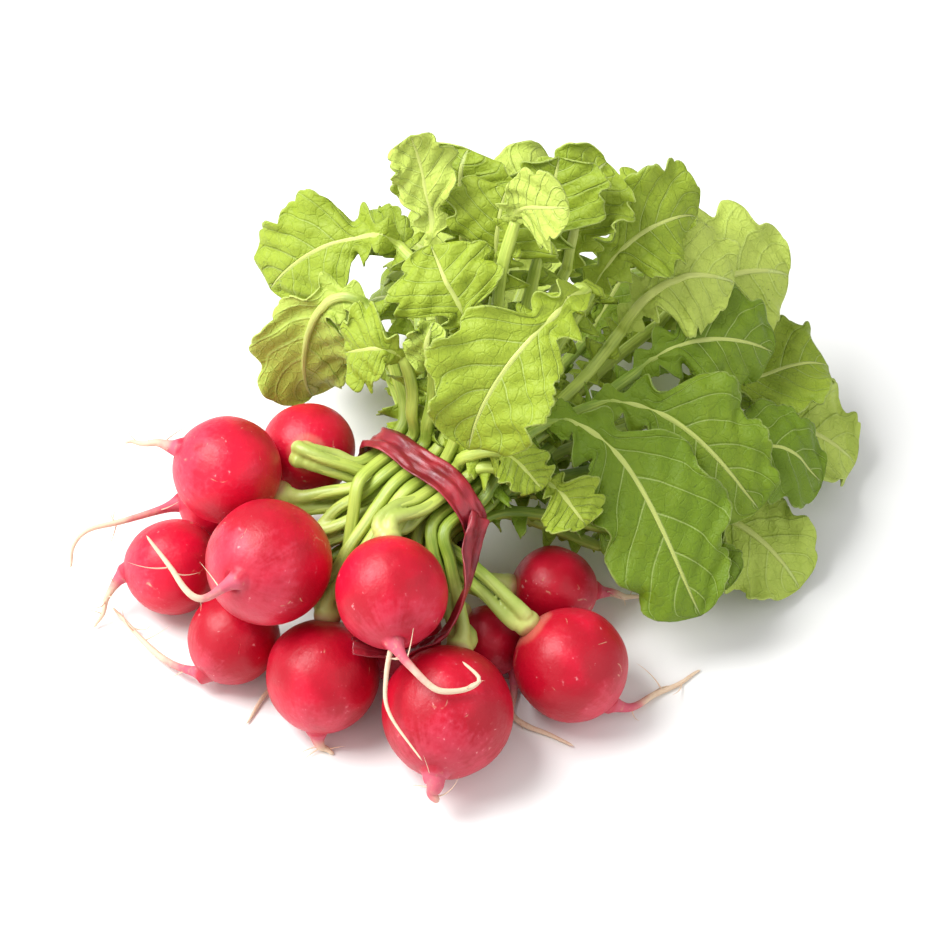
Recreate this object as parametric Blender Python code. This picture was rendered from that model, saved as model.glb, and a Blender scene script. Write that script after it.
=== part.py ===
# A tied bunch of garden radishes, lying on a table.
# +X runs along the bundle from the roots to the leaf tips, +Y to the left of that, +Z up.
# The shapes below are in millimetres in the bundle's own frame, and are moved at the end so that
# the origin is under the middle of the bunch.
import math

import bmesh
import bpy
import numpy as np
from mathutils import Vector

MM = 0.001
UP = np.array([0.0, 0.0, 1.0])
GAP = 0.5  # clearance kept between neighbouring pieces
FLOOR_FLAT = 0.35  # how far a root's underside is flattened where it rests

# Roots: bulb radius, centre (x, y, z), way the taproot points, and the taproot's course from its base.
ROOTS = {
    "radish_01": (12.7, (-15, 41, 31), (0.5, 0.5, -0.7), [(0, 3, -3), (-3, 7, -6), (-8, 10, -8)]),
    "radish_02": (14.3, (-38, 44, 40), (-0.5, 0.75, 0.42), [(-3, 4, 0.3), (-6, 7, 0.6), (-9, 10, 0)]),
    "radish_03": (13.0, (-58, 48, 13), (-0.8, 0.6, -0.05), [(-3, 0, -3), (-7, -1, -7), (-12, -2, -11)]),
    "radish_04": (11.5, (-33, 57, 11), (-0.75, 0.66, 0), [(-9, 2, 1), (-21, 8, 1), (-28, 10, -3), (-30, 10, -10)]),
    "radish_05": (16.2, (-52, 14, 40), (-0.83, -0.23, 0.5), [(-9, 3, -1), (-10, 12, 3), (-9, 21, 8)]),
    "radish_06": (12.2, (-62, 19, 12), (-0.9, 0, -0.42), [(-1, 11, -3), (-1, 25, -4), (1, 38, -5)]),
    "radish_07": (14.8, (-54, -8, 15), (-0.6, -0.48, -0.64), [(0, -1, -2), (1, -3, -4), (2, -5, -5)]),
    "radish_08": (14.4, (-37, -16, 41), (-0.65, -0.75, -0.15), [(-1, -6, 0), (0, -16, -3), (10, -20, -4),
                                                               (10, -14, -3)]),
    "radish_09": (17.0, (-41, -40, 17), (-0.79, -0.55, -0.2), [(-1, -1, -1), (-2, -2, -3), (-3, -3, -5)]),
    "radish_10": (15.0, (-7, -51, 15), (0.2, -0.78, -0.55), [(4, -2, -2), (13, -3, -4), (28, -6, -6)]),
    "radish_11": (11.5, (10, -29, 13), (0.75, -0.62, -0.2), [(4, -2, -3), (8, -4, -6), (12, -6, -9)]),
    "radish_12": (11.0, (-30, -10, 11), (-0.7, -0.15, -0.7), [(-5, 6, -0.5), (-22, 18, -1), (-36, 14, -1)]),
    "radish_13": (9.5, (-13.5, -28, 10), (0.2, -0.8, -0.5), [(-6, -4, -2), (-11, -10, -2.5), (-6, -26, -3)]),
}
USUAL_LEAVES = 3
LEAVES_OF = {"radish_01": 4, "radish_05": 4, "radish_08": 4, "radish_04": 2, "radish_12": 2, "radish_13": 2}
SIDE_ROOTS = {"radish_08": [(-5, -2, -5), (-10, -8, -10), (-12, -22, -15)]}
BULB_SIDES = 12
TAIL_SIDES = 6
BULB_ANGLES = (17, 32, 50, 70, 90, 110, 130, 148, 162)  # degrees from the crown at each ring
CROWN_RADIUS = 3.6
TAIL_RADII = (1.9, 1.3, 1.0, 0.75, 0.6, 0.45)

# The tie holds the stalks in rows, one slot for each leaf.
TIE_CENTRE = np.array([-6.0, 5.0, 37.0])
TIE_REACH = (-6.7, 6.5)  # where the stalks run straight, before and after the tie's middle
SLOT_ROWS = (6, 9, 9, 9, 6)
SLOT_PITCH = 4.0
TIE_HALF_WIDTH = 20.3
TIE_HALF_HEIGHT = 12.4
TIE_BAND = 9.0
TIE_THICKNESS = 0.8
TIE_STEPS = 26
# The tie's loose end: points along it, and the way its face looks at each.
TIE_TAIL = [(-4, -14.9, 42), (-12, -19.5, 40), (-21, -26, 35), (-31, -28, 29), (-41, -23, 25.5), (-50, -15, 30)]
TIE_TAIL_FACING = [(-0.3, -0.85, 0.4), (-0.2, -0.9, 0.3), (0.1, -0.8, -0.3), (0.3, -0.7, -0.6), (-0.1, -0.7, -0.7),
                   (-0.2, 0.2, -0.95)]
TIE_TAIL_HALF = 3.4
STALK_HALF = 1.3  # half the width of a stalk
STALK_RIB = 1.4  # half its height at the middle
STALK_EDGE = 0.6  # half its height at its edges
BLADE_HALF = 0.38  # half a blade's thickness at its edge
KNOB_RADIUS = 4.3
KNOB_LENGTH = 5.0

# Leaves, from the lowest layer up: where the blade begins, its tip, how far it arches, its width,
# and its roll in degrees. Each row of slots takes the next leaves of this list.
LEAVES = [
    ((78, -8, 12), (118, -16, 3), 5, 36, 0),
    ((74, 16, 12), (112, 28, 3), 5, 36, 0),
    ((78, -30, 20), (104, -56, 7), 6, 36, 0),
    ((46, 42, 12), (64, 76, 3), 6, 34, 0),
    ((48, -35, 17), (62, -72, 3), 6, 36, 0),
    ((28, -28, 12), (34, -62, 3), 4, 26, 0),
    ((76, -2, 25), (116, -4, 16), 6, 36, 0),
    ((70, 18, 26), (106, 30, 15), 6, 36, 0),
    ((74, -20, 26), (112, -36, 14), 6, 36, 0),
    ((56, 32, 27), (84, 56, 15), 6, 36, 0),
    ((44, 42, 28), (62, 74, 15), 6, 30, 0),
    ((55, -30, 28), (82, -60, 14), 7, 34, 0),
    ((34, 46, 30), (40, 78, 18), 6, 30, 0),
    ((20, 44, 30), (18, 76, 12), 6, 28, 0),
    ((28, -33, 24), (40, -64, 12), 6, 24, 0),
    ((76, -4, 46), (114, -18, 48), 8, 44, 0),
    ((70, 12, 40), (104, 14, 34), 7, 36, 0),
    ((58, 26, 42), (86, 42, 36), 7, 38, 0),
    ((56, -14, 50), (92, -32, 44), 7, 34, 0),
    ((62, -4, 50), (92, -18, 46), 7, 34, 0),
    ((60, 4, 52), (94, -6, 44), 8, 34, 0),
    ((60, 10, 54), (86, 14, 60), 5, 32, 0),
    ((42, 42, 44), (58, 76, 32), 6, 34, 0),
    ((36, 50, 52), (40, 78, 54), 5, 18, 0),
    ((54, 12, 58), (76, 20, 72), -4, 34, 0),
    ((46, 30, 58), (64, 38, 72), 4, 38, 0),
    ((42, 16, 60), (62, 22, 70), 4, 34, 0),
    ((38, 57, 58), (14, 86, 38), 7, 38, 0),
    ((38, 28, 62), (52, 42, 92), -5, 20, 0),
    ((58, 14, 62), (64, 0, 80), 3, 24, 0),
    ((14, 47, 63), (4, 59, 24), 8, 32, 0),
    ((40, -14, 48), (58, -58, 28), 8, 38, 0),
    ((26, -10, 48), (27, -66, 18), 9, 40, 0),
    ((25, 10, 62), (36, 28, 74), 3, 34, 0),
    ((12, 20, 56), (3, 35, 58), 2, 26, 0),
    ((13, -20, 46), (14, -36, 38), 3, 20, 0),
    ((14, 13, 56), (20, 16, 70), 2, 13, 0),
    ((9, -10, 51), (10, -24, 48), 2, 15, 0),
    ((50, -8, 72), (3, -8, 54), 12, 38, 0),
]
LOW_FACING = np.array([-0.15, 0.0, 0.99])  # the way the blades of the lower layers face
HIGH_FACING = np.array([-0.4, -0.4, 0.82])  # and those of the upper layers, from HIGH_LAYERS up
HIGH_LAYERS = 42
BIG_LEAF = 36  # a leaf at least this wide gets more points across
SMALL_LEAF = 17  # one narrower than this is a plain oval
# A leaf's half width along its blade, from the stalk to the tip, as shares of the widest.
BLADE_PROFILE = ((0.0, 0.09), (0.08, 0.28), (0.14, 0.14), (0.22, 0.46), (0.29, 0.25), (0.39, 0.74), (0.48, 0.98),
                 (0.56, 0.82), (0.65, 1.0), (0.76, 0.78), (0.86, 0.74), (0.95, 0.40), (1.0, 0.12))
SIDE_WAVE = 0.12  # how much one side of a blade differs from the other
SMALL_PROFILE = ((0.0, 0.2), (0.15, 0.5), (0.35, 0.9), (0.6, 1.0), (0.8, 0.8), (0.94, 0.45), (1.0, 0.15))
SEED = 7
ROUTE_STEPS = 320
FREE_POINTS = 5  # points of a stalk that are free to move between its crown and the tie
COMB_LENGTH = 14
STALK_STEP = 8.0

# The map of what lies where, seen from a level axis behind the tie: distance from it, place along it.
PIVOT = TIE_CENTRE - [25, 5, 0]
LIFT_SLOPE = 0.4  # how steeply a leaf's lift may change along it
FOLD_TURN = 1.6  # how far such a leaf's stalk has already turned where its blade begins
MAP_REACH = 190
MAP_HALF = 120
LOW_ANGLE = math.radians(-100)


def unit(vector):
    vector = np.asarray(vector, float)
    return vector / np.linalg.norm(vector)


def smooth_path(points, count):
    """Points at equal steps along a smooth curve through the given ones."""
    p = np.asarray(points, float)
    p = np.vstack([2 * p[0] - p[1], p, 2 * p[-1] - p[-2]])
    fine = []
    for i in range(1, len(p) - 2):
        for t in np.linspace(0, 1, 12, endpoint=False):
            a, b, c, d = p[i - 1:i + 3]
            fine.append(0.5 * (2 * b + (c - a) * t + (2 * a - 5 * b + 4 * c - d) * t**2
                               + (3 * b - a - 3 * c + d) * t**3))
    fine.append(p[-2])
    fine = np.array(fine)
    steps = np.concatenate([[0], np.cumsum(np.linalg.norm(np.diff(fine[:, :3], axis=0), axis=1))])
    at = np.linspace(0, steps[-1], count)
    return np.column_stack([np.interp(at, steps, values) for values in fine.T])


def tangents(points):
    return np.array([unit(v) for v in np.gradient(points, axis=0)])


def carried_normals(along, first):
    """A normal carried along a curve without twist."""
    normals = [unit(first - along[0] * (first @ along[0]))]
    for t in along[1:]:
        n = normals[-1]
        normals.append(unit(n - t * (n @ t)))
    return np.array(normals)


def new_object(name, bm, material):
    bmesh.ops.recalc_face_normals(bm, faces=bm.faces)
    mesh = bpy.data.meshes.new(name)
    bm.to_mesh(mesh)
    bm.free()
    mesh.transform(((MM, 0, 0, 0), (0, MM, 0, 0), (0, 0, MM, 0), (0, 0, 0, 1)))
    obj = bpy.data.objects.new(name, mesh)
    if material:
        mesh.materials.append(material)
    return obj


def make_material(name, colour, roughness):
    material = bpy.data.materials.new(name)
    material.use_nodes = True
    shader = material.node_tree.nodes["Principled BSDF"]
    shader.inputs["Base Color"].default_value = (*colour, 1)
    shader.inputs["Roughness"].default_value = roughness
    shader.inputs["Metallic"].default_value = 0
    return material


# Roots


def settled_roots():
    """The bulbs' centres once those that are too close have pushed each other apart."""
    radii = np.array([r[0] for r in ROOTS.values()])
    places = np.array([r[1] for r in ROOTS.values()], float)
    on_floor = places[:, 2] < 20
    for _ in range(200):
        places[on_floor, 2] = radii[on_floor] - FLOOR_FLAT
        apart = places[:, None] - places[None]
        distance = np.linalg.norm(apart, axis=2) + np.eye(len(radii)) * 1e3
        short = np.maximum(0, radii[:, None] + radii[None] + GAP - distance)
        places += 0.5 * (apart / distance[..., None] * short[..., None]).sum(axis=1)
    places[on_floor, 2] = radii[on_floor] - FLOOR_FLAT
    return {name: place for name, place in zip(ROOTS, places)}


def rings_to_mesh(bm, rings):
    """A closed skin over rings, each of which has as many points as the one before or half as many."""
    loops = [[bm.verts.new(p) for p in ring] for ring in rings]
    for a, b in zip(loops, loops[1:]):
        step = len(a) // len(b)
        for i in range(len(b)):
            j = (i + 1) % len(b)
            if step == 2:
                bm.faces.new((a[2 * i], a[2 * i + 1], b[i]))
            bm.faces.new((a[step * i + step - 1], a[step * j], b[j], b[i]))
    bm.faces.new(loops[0])
    bm.faces.new(loops[-1])


def ring(centre, normal, side, radius, sides):
    other = np.cross(normal, side)
    turns = np.arange(sides) * 2 * math.pi / sides
    return [centre + radius * (math.cos(a) * side + math.sin(a) * other) for a in turns]


def tail_rings(base, start, course, radii, sides, side):
    """Rings down a taproot that bends from its starting way along its course, kept off the floor."""
    path = smooth_path([base] + [base + start * 1.5 + np.array(p, float) for p in course], len(radii) + 1)[1:]
    radii = np.asarray(radii, float)
    path[:, 2] = np.maximum(path[:, 2], radii + 0.1)
    along = tangents(np.vstack([base, path]))[1:]
    normals = carried_normals(along, side)
    return [ring(p, t, n, r, sides) for p, t, n, r in zip(path, along, normals, radii)]


def radish_mesh(name, centre):
    radius, _, root_way, course = ROOTS[name]
    way = unit(root_way)
    side = unit(np.cross(way, UP if abs(way[2]) < 0.9 else np.array([1.0, 0, 0])))
    rings = [ring(centre - way * radius * 0.97, way, side, CROWN_RADIUS, BULB_SIDES)]
    for angle in BULB_ANGLES:
        a = math.radians(angle)
        rings.append(ring(centre - way * radius * math.cos(a), way, side, radius * math.sin(a), BULB_SIDES))
    base = centre + way * radius
    rings += tail_rings(base, way, course, TAIL_RADII, TAIL_SIDES, side)
    bm = bmesh.new()
    rings_to_mesh(bm, rings)
    if name in SIDE_ROOTS:
        branch = bmesh.new()
        thin = (1.2, 0.9, 0.75, 0.65, 0.55, 0.45)
        start = [ring(base - way * 2.5, way, side, 1.4, 6)]
        rings_to_mesh(branch, start + tail_rings(base, way, SIDE_ROOTS[name], thin, TAIL_SIDES, side))
        return bm, branch
    return bm, None


def flatten_underside(bm):
    """Cuts the bulb flat where it rests on the table."""
    geometry = bm.verts[:] + bm.edges[:] + bm.faces[:]
    cut = bmesh.ops.bisect_plane(bm, geom=geometry, plane_co=(0, 0, 0), plane_no=(0, 0, 1), clear_inner=True)
    edges = [e for e in cut["geom_cut"] if isinstance(e, bmesh.types.BMEdge)]
    if edges:
        bmesh.ops.contextual_create(bm, geom=edges)


# Stalks on the root side of the tie


def slots():
    """Where each stalk passes through the tie, row by row from the bottom, each row from +Y to -Y."""
    places = []
    for row, count in enumerate(SLOT_ROWS):
        z = TIE_CENTRE[2] + (row - (len(SLOT_ROWS) - 1) / 2) * SLOT_PITCH
        places += [(TIE_CENTRE[1] + ((count - 1) / 2 - i) * SLOT_PITCH, z) for i in range(count)]
    return places


def share_slots(places, centres):
    """Gives each plant the free slots on the side it comes from, the plants that come in sideways first."""
    entry = TIE_CENTRE + [TIE_REACH[0], 0, 0]
    ahead = {name: crown_frame(name, centre)[0] - entry for name, centre in centres.items()}
    sideways = {name: np.hypot(d[1], d[2]) / (np.hypot(d[1], d[2]) + max(0, -d[0])) for name, d in ahead.items()}
    free = list(range(len(places)))
    owners = {}
    for name in sorted(centres, key=lambda name: -sideways[name]):
        side = unit(ahead[name][1:]) * sideways[name]
        target = TIE_CENTRE[1:] + side * [TIE_HALF_WIDTH, TIE_HALF_HEIGHT]
        for _ in range(LEAVES_OF.get(name, USUAL_LEAVES)):
            best = min(free, key=lambda i: np.linalg.norm(places[i] - target))
            free.remove(best)
            owners[best] = name
    return owners


def closest_points(a, b, c, d):
    """Shares along segments a-b and c-d, row by row, of their nearest points."""
    u, v, w = b - a, d - c, a - c
    uu, vv = (u * u).sum(1) + 1e-9, (v * v).sum(1) + 1e-9
    uv, uw, vw = (u * v).sum(1), (u * w).sum(1), (v * w).sum(1)
    bottom = uu * vv - uv * uv
    s = np.clip(np.where(bottom > 1e-9, (uv * vw - vv * uw) / np.maximum(bottom, 1e-9), 0.5), 0, 1)
    t = np.clip((uv * s + vw) / vv, 0, 1)
    s = np.clip((uv * t - uw) / uu, 0, 1)
    return s, t


def crown_frame(name, centre):
    """A crown's place, the way it points, and a way across it."""
    way = -unit(ROOTS[name][2])
    side = unit(np.cross(way, UP if abs(way[2]) < 0.9 else np.array([1.0, 0, 0])))
    return centre + way * (ROOTS[name][0] * 0.97 + 0.3), way, side


def stalk_ends(places, owners, centres):
    """Each stalk's two points in its crown, and its two in the straight run through the tie."""
    begun = {name: 0 for name in ROOTS}
    starts, ends = [], []
    for index, (y, z) in enumerate(places):
        name = owners[index]
        crown, way, side = crown_frame(name, centres[name])
        turn = 2 * math.pi * begun[name] / LEAVES_OF.get(name, USUAL_LEAVES) + 0.6
        begun[name] += 1
        out = math.cos(turn) * side + math.sin(turn) * np.cross(way, side)
        starts.append([crown + way * 1.6 + out * 1.6, crown + way * 6 + out * 2.4])
        ends.append([[TIE_CENTRE[0] + reach, y, z] for reach in TIE_REACH])
    return np.array(starts), np.array(ends)


def obstacles(centres):
    """Balls that the stalks keep out of: the bulbs, the crowns, and beads along the tie."""
    names = list(ROOTS)
    balls = [(centres[name], ROOTS[name][0]) for name in names]
    for name in names:
        crown, way, _ = crown_frame(name, centres[name])
        balls.append((crown + way * KNOB_LENGTH / 2, KNOB_RADIUS + 0.6))
    balls += [(tie_oval(turn * math.pi / 9, 1.5), TIE_BAND / 2) for turn in range(18)]
    balls += [(p, TIE_TAIL_HALF + 0.3) for p in smooth_path(TIE_TAIL, 14)[2:]]
    return np.array([p for p, _ in balls]), np.array([r for _, r in balls]) + STALK_RIB + 0.9


def route_stalks(places, owners, centres):
    """Draws each stalk from a straight line behind its slot out to its crown, clear of all else."""
    names = list(ROOTS)
    starts, ends = stalk_ends(places, owners, centres)
    back = np.linspace(-COMB_LENGTH, 0, FREE_POINTS + 3)[None, :-1, None] * [1.0, 0, 0]
    p = np.concatenate([ends[:, :1] + back, ends], axis=1)
    combed = p[:, :2].copy()
    plant_of = np.array([names.index(owners[index]) for index in range(len(places))])
    count, length = p.shape[:2]
    loose = np.ones(length)
    loose[[0, 1, -2, -1]] = 0
    ball, reach = obstacles(centres)
    reach = np.repeat(reach[None], count, axis=0)
    reach[np.arange(count), len(names) + plant_of] = 0
    chain_of, link = np.divmod(np.arange(count * (length - 1)), length - 1)
    i, j = np.triu_indices(len(chain_of), 1)
    same = plant_of[chain_of[i]] == plant_of[chain_of[j]]
    near_crown = (link[i] < 2) | (link[j] < 2)
    keep = (chain_of[i] != chain_of[j]) & ~(same & near_crown)
    i, j = i[keep], j[keep]
    first = chain_of[i] * length + link[i]
    second = chain_of[j] * length + link[j]
    clear = 2 * STALK_RIB + 0.75
    for step in range(ROUTE_STEPS):
        drawn = min(1, step / (0.4 * ROUTE_STEPS))
        solid = min(1, max(0, step / (0.2 * ROUTE_STEPS) - 2))
        p[:, :2] = combed * (1 - drawn) + starts * drawn
        if step < 0.85 * ROUTE_STEPS:
            p[:, 2:-2] += 0.3 * ((p[:, 1:-3] + p[:, 3:-1]) / 2 - p[:, 2:-2])
        for share in (0.0, 1 / 3, 2 / 3):
            spots = p[:, :-1] * (1 - share) + p[:, 1:] * share
            away = spots[:, :, None] - ball
            distance = np.linalg.norm(away, axis=3)
            push = (away / distance[..., None] * np.maximum(0, reach[:, None] * solid - distance)[..., None]).sum(axis=2)
            p[:, :-1] += push * loose[:-1, None]
            p[:, 1:] += push * loose[1:, None] * (share > 0)
        flat = p.reshape(-1, 3)
        s, t = closest_points(flat[first], flat[first + 1], flat[second], flat[second + 1])
        gap = (flat[first] * (1 - s)[:, None] + flat[first + 1] * s[:, None]
               - flat[second] * (1 - t)[:, None] - flat[second + 1] * t[:, None])
        distance = np.linalg.norm(gap, axis=1) + 1e-6
        short = np.maximum(0, clear - distance)
        hit = short > 0
        push = gap[hit] / distance[hit, None] * (0.5 * short[hit, None])
        change = np.zeros_like(flat)
        for ends, part, sign in ((first, 1 - s, 1), (first + 1, s, 1), (second, 1 - t, -1), (second + 1, t, -1)):
            np.add.at(change, ends[hit], sign * push * part[hit, None])
        p += change.reshape(p.shape) * loose[:, None]
        p[..., 2] = np.maximum(p[..., 2], STALK_RIB + 0.4)
    return [evened(chain) for chain in p]


def evened(chain):
    """The same course with its points at even steps between the crown and the tie."""
    loose = chain[1:-1]
    length = np.linalg.norm(np.diff(loose, axis=0), axis=1).sum()
    count = max(3, round(length / STALK_STEP) + 1)
    return np.vstack([chain[:1], smooth_path(loose, count), chain[-1:]])


# Leaves


def blade_profile(leaf):
    return SMALL_PROFILE if leaf[3] < SMALL_LEAF else BLADE_PROFILE


def folds_back(leaf):
    """Whether a leaf's blade lies back over its own stalk."""
    return leaf[1][0] < leaf[0][0] - 20


def leaf_centreline(slot, leaf):
    """The stalk beyond the tie and the blade's midrib: points, and where along them the blade begins."""
    base, tip, arch, _, _ = leaf
    base, tip = np.array(base, float), np.array(tip, float)
    start = np.array([TIE_CENTRE[0] + TIE_REACH[-1], *slot])
    run = np.linalg.norm(base - start)
    ahead = unit(tip - base)
    into = unit(unit(base - start) + (FOLD_TURN if folds_back(leaf) else 0.5) * ahead)
    t = np.linspace(0, 1, 5)[:, None]
    stalk = (start * (2 * t**3 - 3 * t**2 + 1) + np.array([1.0, 0, 0]) * 0.8 * run * (t**3 - 2 * t**2 + t)
             + base * (3 * t**2 - 2 * t**3) + into * 0.7 * run * (t**3 - t**2))
    above = unit(np.array([-(base - PIVOT)[2], 0, (base - PIVOT)[0]]))
    outward = unit(above - ahead * (above @ ahead))
    shares = [share for share, _ in blade_profile(leaf)]
    u = np.array(shares)[:, None]
    span = np.linalg.norm(tip - base)
    blade = (base * (2 * u**3 - 3 * u**2 + 1) + into * 0.9 * span * (u**3 - 2 * u**2 + u)
             + tip * (3 * u**2 - 2 * u**3) + ahead * 0.8 * span * (u**3 - u**2)) + outward * arch * 4 * u * (1 - u)
    return np.vstack([stalk[:-1], blade]), len(stalk) - 1


def leaf_grid(root_side, slot, leaf, rng):
    """Rows of points across a leaf's middle surface, from its crown to its tip, with half thicknesses."""
    line, blade_from = leaf_centreline(slot, leaf)
    _, _, _, width, roll = leaf
    line = np.vstack([root_side[:-1], line])
    tie_at = len(root_side) - 1
    blade_from += tie_at
    along = tangents(line)
    after = carried_normals(along[tie_at:], UP)
    before = carried_normals(along[tie_at::-1], UP)[::-1]
    normals = np.vstack([before[:-1], after])
    facing = LOW_FACING if leaf[0][2] < HIGH_LAYERS else HIGH_FACING
    shares, widths = zip(*blade_profile(leaf))
    phase = rng.uniform(0, 2 * math.pi)
    cup = rng.uniform(-0.10, 0.22)
    rows, halves = [], []
    for i, (p, t, n) in enumerate(zip(line, along, normals)):
        u = shares[i - blade_from] if i >= blade_from else -1
        turning = min(1, max(0, (i - tie_at) / (blade_from - tie_at)))
        n = (1 - turning) * n + turning * unit(facing - t * (facing @ t))
        n = unit(n - t * (n @ t))
        turn = math.radians(roll) * turning
        n = n * math.cos(turn) + np.cross(t, n) * math.sin(turn)
        across = np.cross(n, t)
        if u < 0.02:
            swell = 1.25 if i == 0 else 1.0
            columns = (-1, 0, 1)
            half = STALK_HALF * swell
            rows.append([p + across * half * v for v in columns])
            halves.append([STALK_EDGE * swell, STALK_RIB * swell, STALK_EDGE * swell])
            continue
        uneven = SIDE_WAVE * math.sin(9 * u + phase)
        half = max(STALK_HALF, widths[i - blade_from] * width / 2)
        big = width >= BIG_LEAF and 0.3 < u < 0.99
        columns = (-1, -0.5, 0, 0.5, 1) if big else (-1, 0, 1)
        lift = [cup * half * v * v + 0.05 * width * u * v * math.sin(9 * u + phase + 2 * v) for v in columns]
        rows.append([p + across * half * v * (1 + uneven * np.sign(v)) + n * h for v, h in zip(columns, lift)])
        rib = STALK_RIB + (0.65 - STALK_RIB) * min(1, 2.5 * u)
        halves.append([rib if v == 0 else BLADE_HALF + 0.04 * (abs(v) < 1) for v in columns])
    return [np.array(r) for r in rows], [np.array(h) for h in halves], tie_at, blade_from


def zip_rows(na, nb):
    """Triangles between two rows: each corner is (row 0 or 1, index)."""
    i = j = 0
    faces = []
    while i < na - 1 or j < nb - 1:
        next_a = (i + 1) / (na - 1) if i < na - 1 else 9
        next_b = (j + 1) / (nb - 1) if j < nb - 1 else 9
        if next_a < next_b or (next_a == next_b and (i + j) % 4 < 2):
            faces.append(((0, i), (1, j), (0, i + 1)))
            i += 1
        else:
            faces.append(((0, i), (1, j), (1, j + 1)))
            j += 1
    return faces


def grid_triangles(rows):
    starts = np.concatenate([[0], np.cumsum([len(r) for r in rows])])
    return [[starts[k + row] + index for row, index in corners]
            for k in range(len(rows) - 1) for corners in zip_rows(len(rows[k]), len(rows[k + 1]))]


def sheet_normals(rows):
    """A normal at each point of the leaf, from its neighbours."""
    points = np.vstack(rows)
    normals = np.zeros_like(points)
    for a, b, c in grid_triangles(rows):
        face = np.cross(points[b] - points[a], points[c] - points[a])
        normals[[a, b, c]] += face
    normals /= np.linalg.norm(normals, axis=1)[:, None] + 1e-12
    split = np.cumsum([len(r) for r in rows])[:-1]
    return np.split(normals, split)


def around_pivot(points):
    """Distance from the pivot axis, angle round it, and place along it."""
    x, z = points[:, 0] - PIVOT[0], points[:, 2] - PIVOT[2]
    return np.hypot(x, z), np.arctan2(z, x), points[:, 1]


def empty_map(centres, chains):
    """The highest angle that is taken at each place, to start with by the table, the bulbs and the tie."""
    reach = np.arange(MAP_REACH) + 0.5
    floor = np.where(reach > PIVOT[2] - 0.6, -np.arcsin(np.minimum(1, (PIVOT[2] - 0.6) / reach)), LOW_ANGLE)
    taken = np.repeat(floor[:, None], 2 * MAP_HALF, axis=1)
    turns = np.radians(np.arange(0, 360, 4))
    for name, centre in centres.items():
        for tilt in np.radians(np.arange(-88, 90, 4)):
            shell = centre + (ROOTS[name][0] + 1) * np.column_stack(
                [np.cos(turns) * math.cos(tilt), np.sin(turns) * math.cos(tilt), np.full(len(turns), math.sin(tilt))])
            shell = shell[shell[:, 0] > PIVOT[0] + 6]
            mark(taken, *around_pivot(shell))
    runs = np.vstack([smooth_path(chain, 150) for chain in chains]) + UP * STALK_RIB
    band = np.array([tie_oval(turn, TIE_THICKNESS + 0.3) + [x, 0, 0] for turn in np.linspace(0, 2 * math.pi, 160)
                     for x in np.arange(-5, 5.5, 0.5)])
    taken_by_bundle = np.vstack([runs, band])
    distance, angle, place = around_pivot(taken_by_bundle)
    before = (distance < TIE_REACH[-1] - PIVOT[0] + TIE_CENTRE[0] - 1) & (taken_by_bundle[:, 0] > PIVOT[0] + 6)
    mark(taken, distance[before], angle[before], place[before])
    return taken


def cells(distance, place):
    return (np.clip(distance.astype(int), 0, MAP_REACH - 1),
            np.clip((place + MAP_HALF).astype(int), 0, 2 * MAP_HALF - 1))


def mark(taken, distance, angle, place):
    np.maximum.at(taken, cells(distance, place), angle)


def widened(taken):
    """The map with each cell raised to its highest neighbour, beyond the tie."""
    high = taken.copy()
    for dx in (-1, 0, 1):
        for dy in (-1, 0, 1):
            high = np.maximum(high, np.roll(np.roll(taken, dx, 0), dy, 1))
    high[:44] = taken[:44]
    return high


def barycentric(order):
    return np.array([(i, j, order - i - j) for i in range(order + 1) for j in range(order + 1 - i)]) / order


def raised_by(points, lift):
    """Points turned up about the pivot axis."""
    distance, angle, place = around_pivot(points)
    angle = angle + lift
    return np.column_stack([PIVOT[0] + distance * np.cos(angle), place, PIVOT[2] + distance * np.sin(angle)])


def turned_like(rows, first):
    """Rows turned about the pivot axis so that the first of them has the angle of another."""
    lift = around_pivot(first)[1].mean() - around_pivot(rows[0])[1].mean()
    return [first] + [raised_by(row, lift) for row in rows[1:]]


def lift_clear(rows, halves, tie_at, taken):
    """Turns a leaf's points up about the pivot axis until it lies clear above what the map holds."""
    triangles = np.array(grid_triangles(rows))
    points, half = np.vstack(rows), np.concatenate(halves)
    sizes = [len(r) for r in rows]
    row_of = np.repeat(np.arange(len(rows)), sizes)
    beyond = triangles[(row_of[triangles] > tie_at).any(axis=1)]
    weights = barycentric(12)
    spots = np.einsum("wk,tkc->twc", weights, points[beyond]).reshape(-1, 3)
    thick = np.einsum("wk,tk->tw", weights, half[beyond]).reshape(-1)
    distance, angle, place = around_pivot(spots)
    high = widened(taken)[cells(distance, place)]
    excess = np.maximum(0, high + (GAP + 0.3 + thick) / distance - angle).reshape(len(beyond), -1).max(axis=1)
    lift = np.zeros(len(points))
    for corner in range(3):
        np.maximum.at(lift, beyond[:, corner], excess)
    by_row = np.array([lift[row_of == k].max() for k in range(len(rows))])
    middles = np.array([row.mean(axis=0) for row in rows])
    fall = LIFT_SLOPE * np.linalg.norm(np.diff(middles, axis=0), axis=1) / around_pivot(middles[1:])[0]
    for k in range(tie_at + 2, len(rows)):
        by_row[k] = max(by_row[k], by_row[k - 1] - fall[k - 1])
    for k in range(len(rows) - 2, tie_at, -1):
        by_row[k] = max(by_row[k], by_row[k + 1] - fall[k])
    lift = np.maximum(lift, by_row[row_of])
    lift[row_of <= tie_at] = 0
    raised = np.where(lift[:, None] > 0, raised_by(points, lift), points)
    spots = np.einsum("wk,tkc->twc", weights, raised[beyond]).reshape(-1, 3)
    distance, angle, place = around_pivot(spots)
    mark(taken, distance, angle + thick / distance, place)
    return np.split(raised, np.cumsum(sizes)[:-1])


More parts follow.
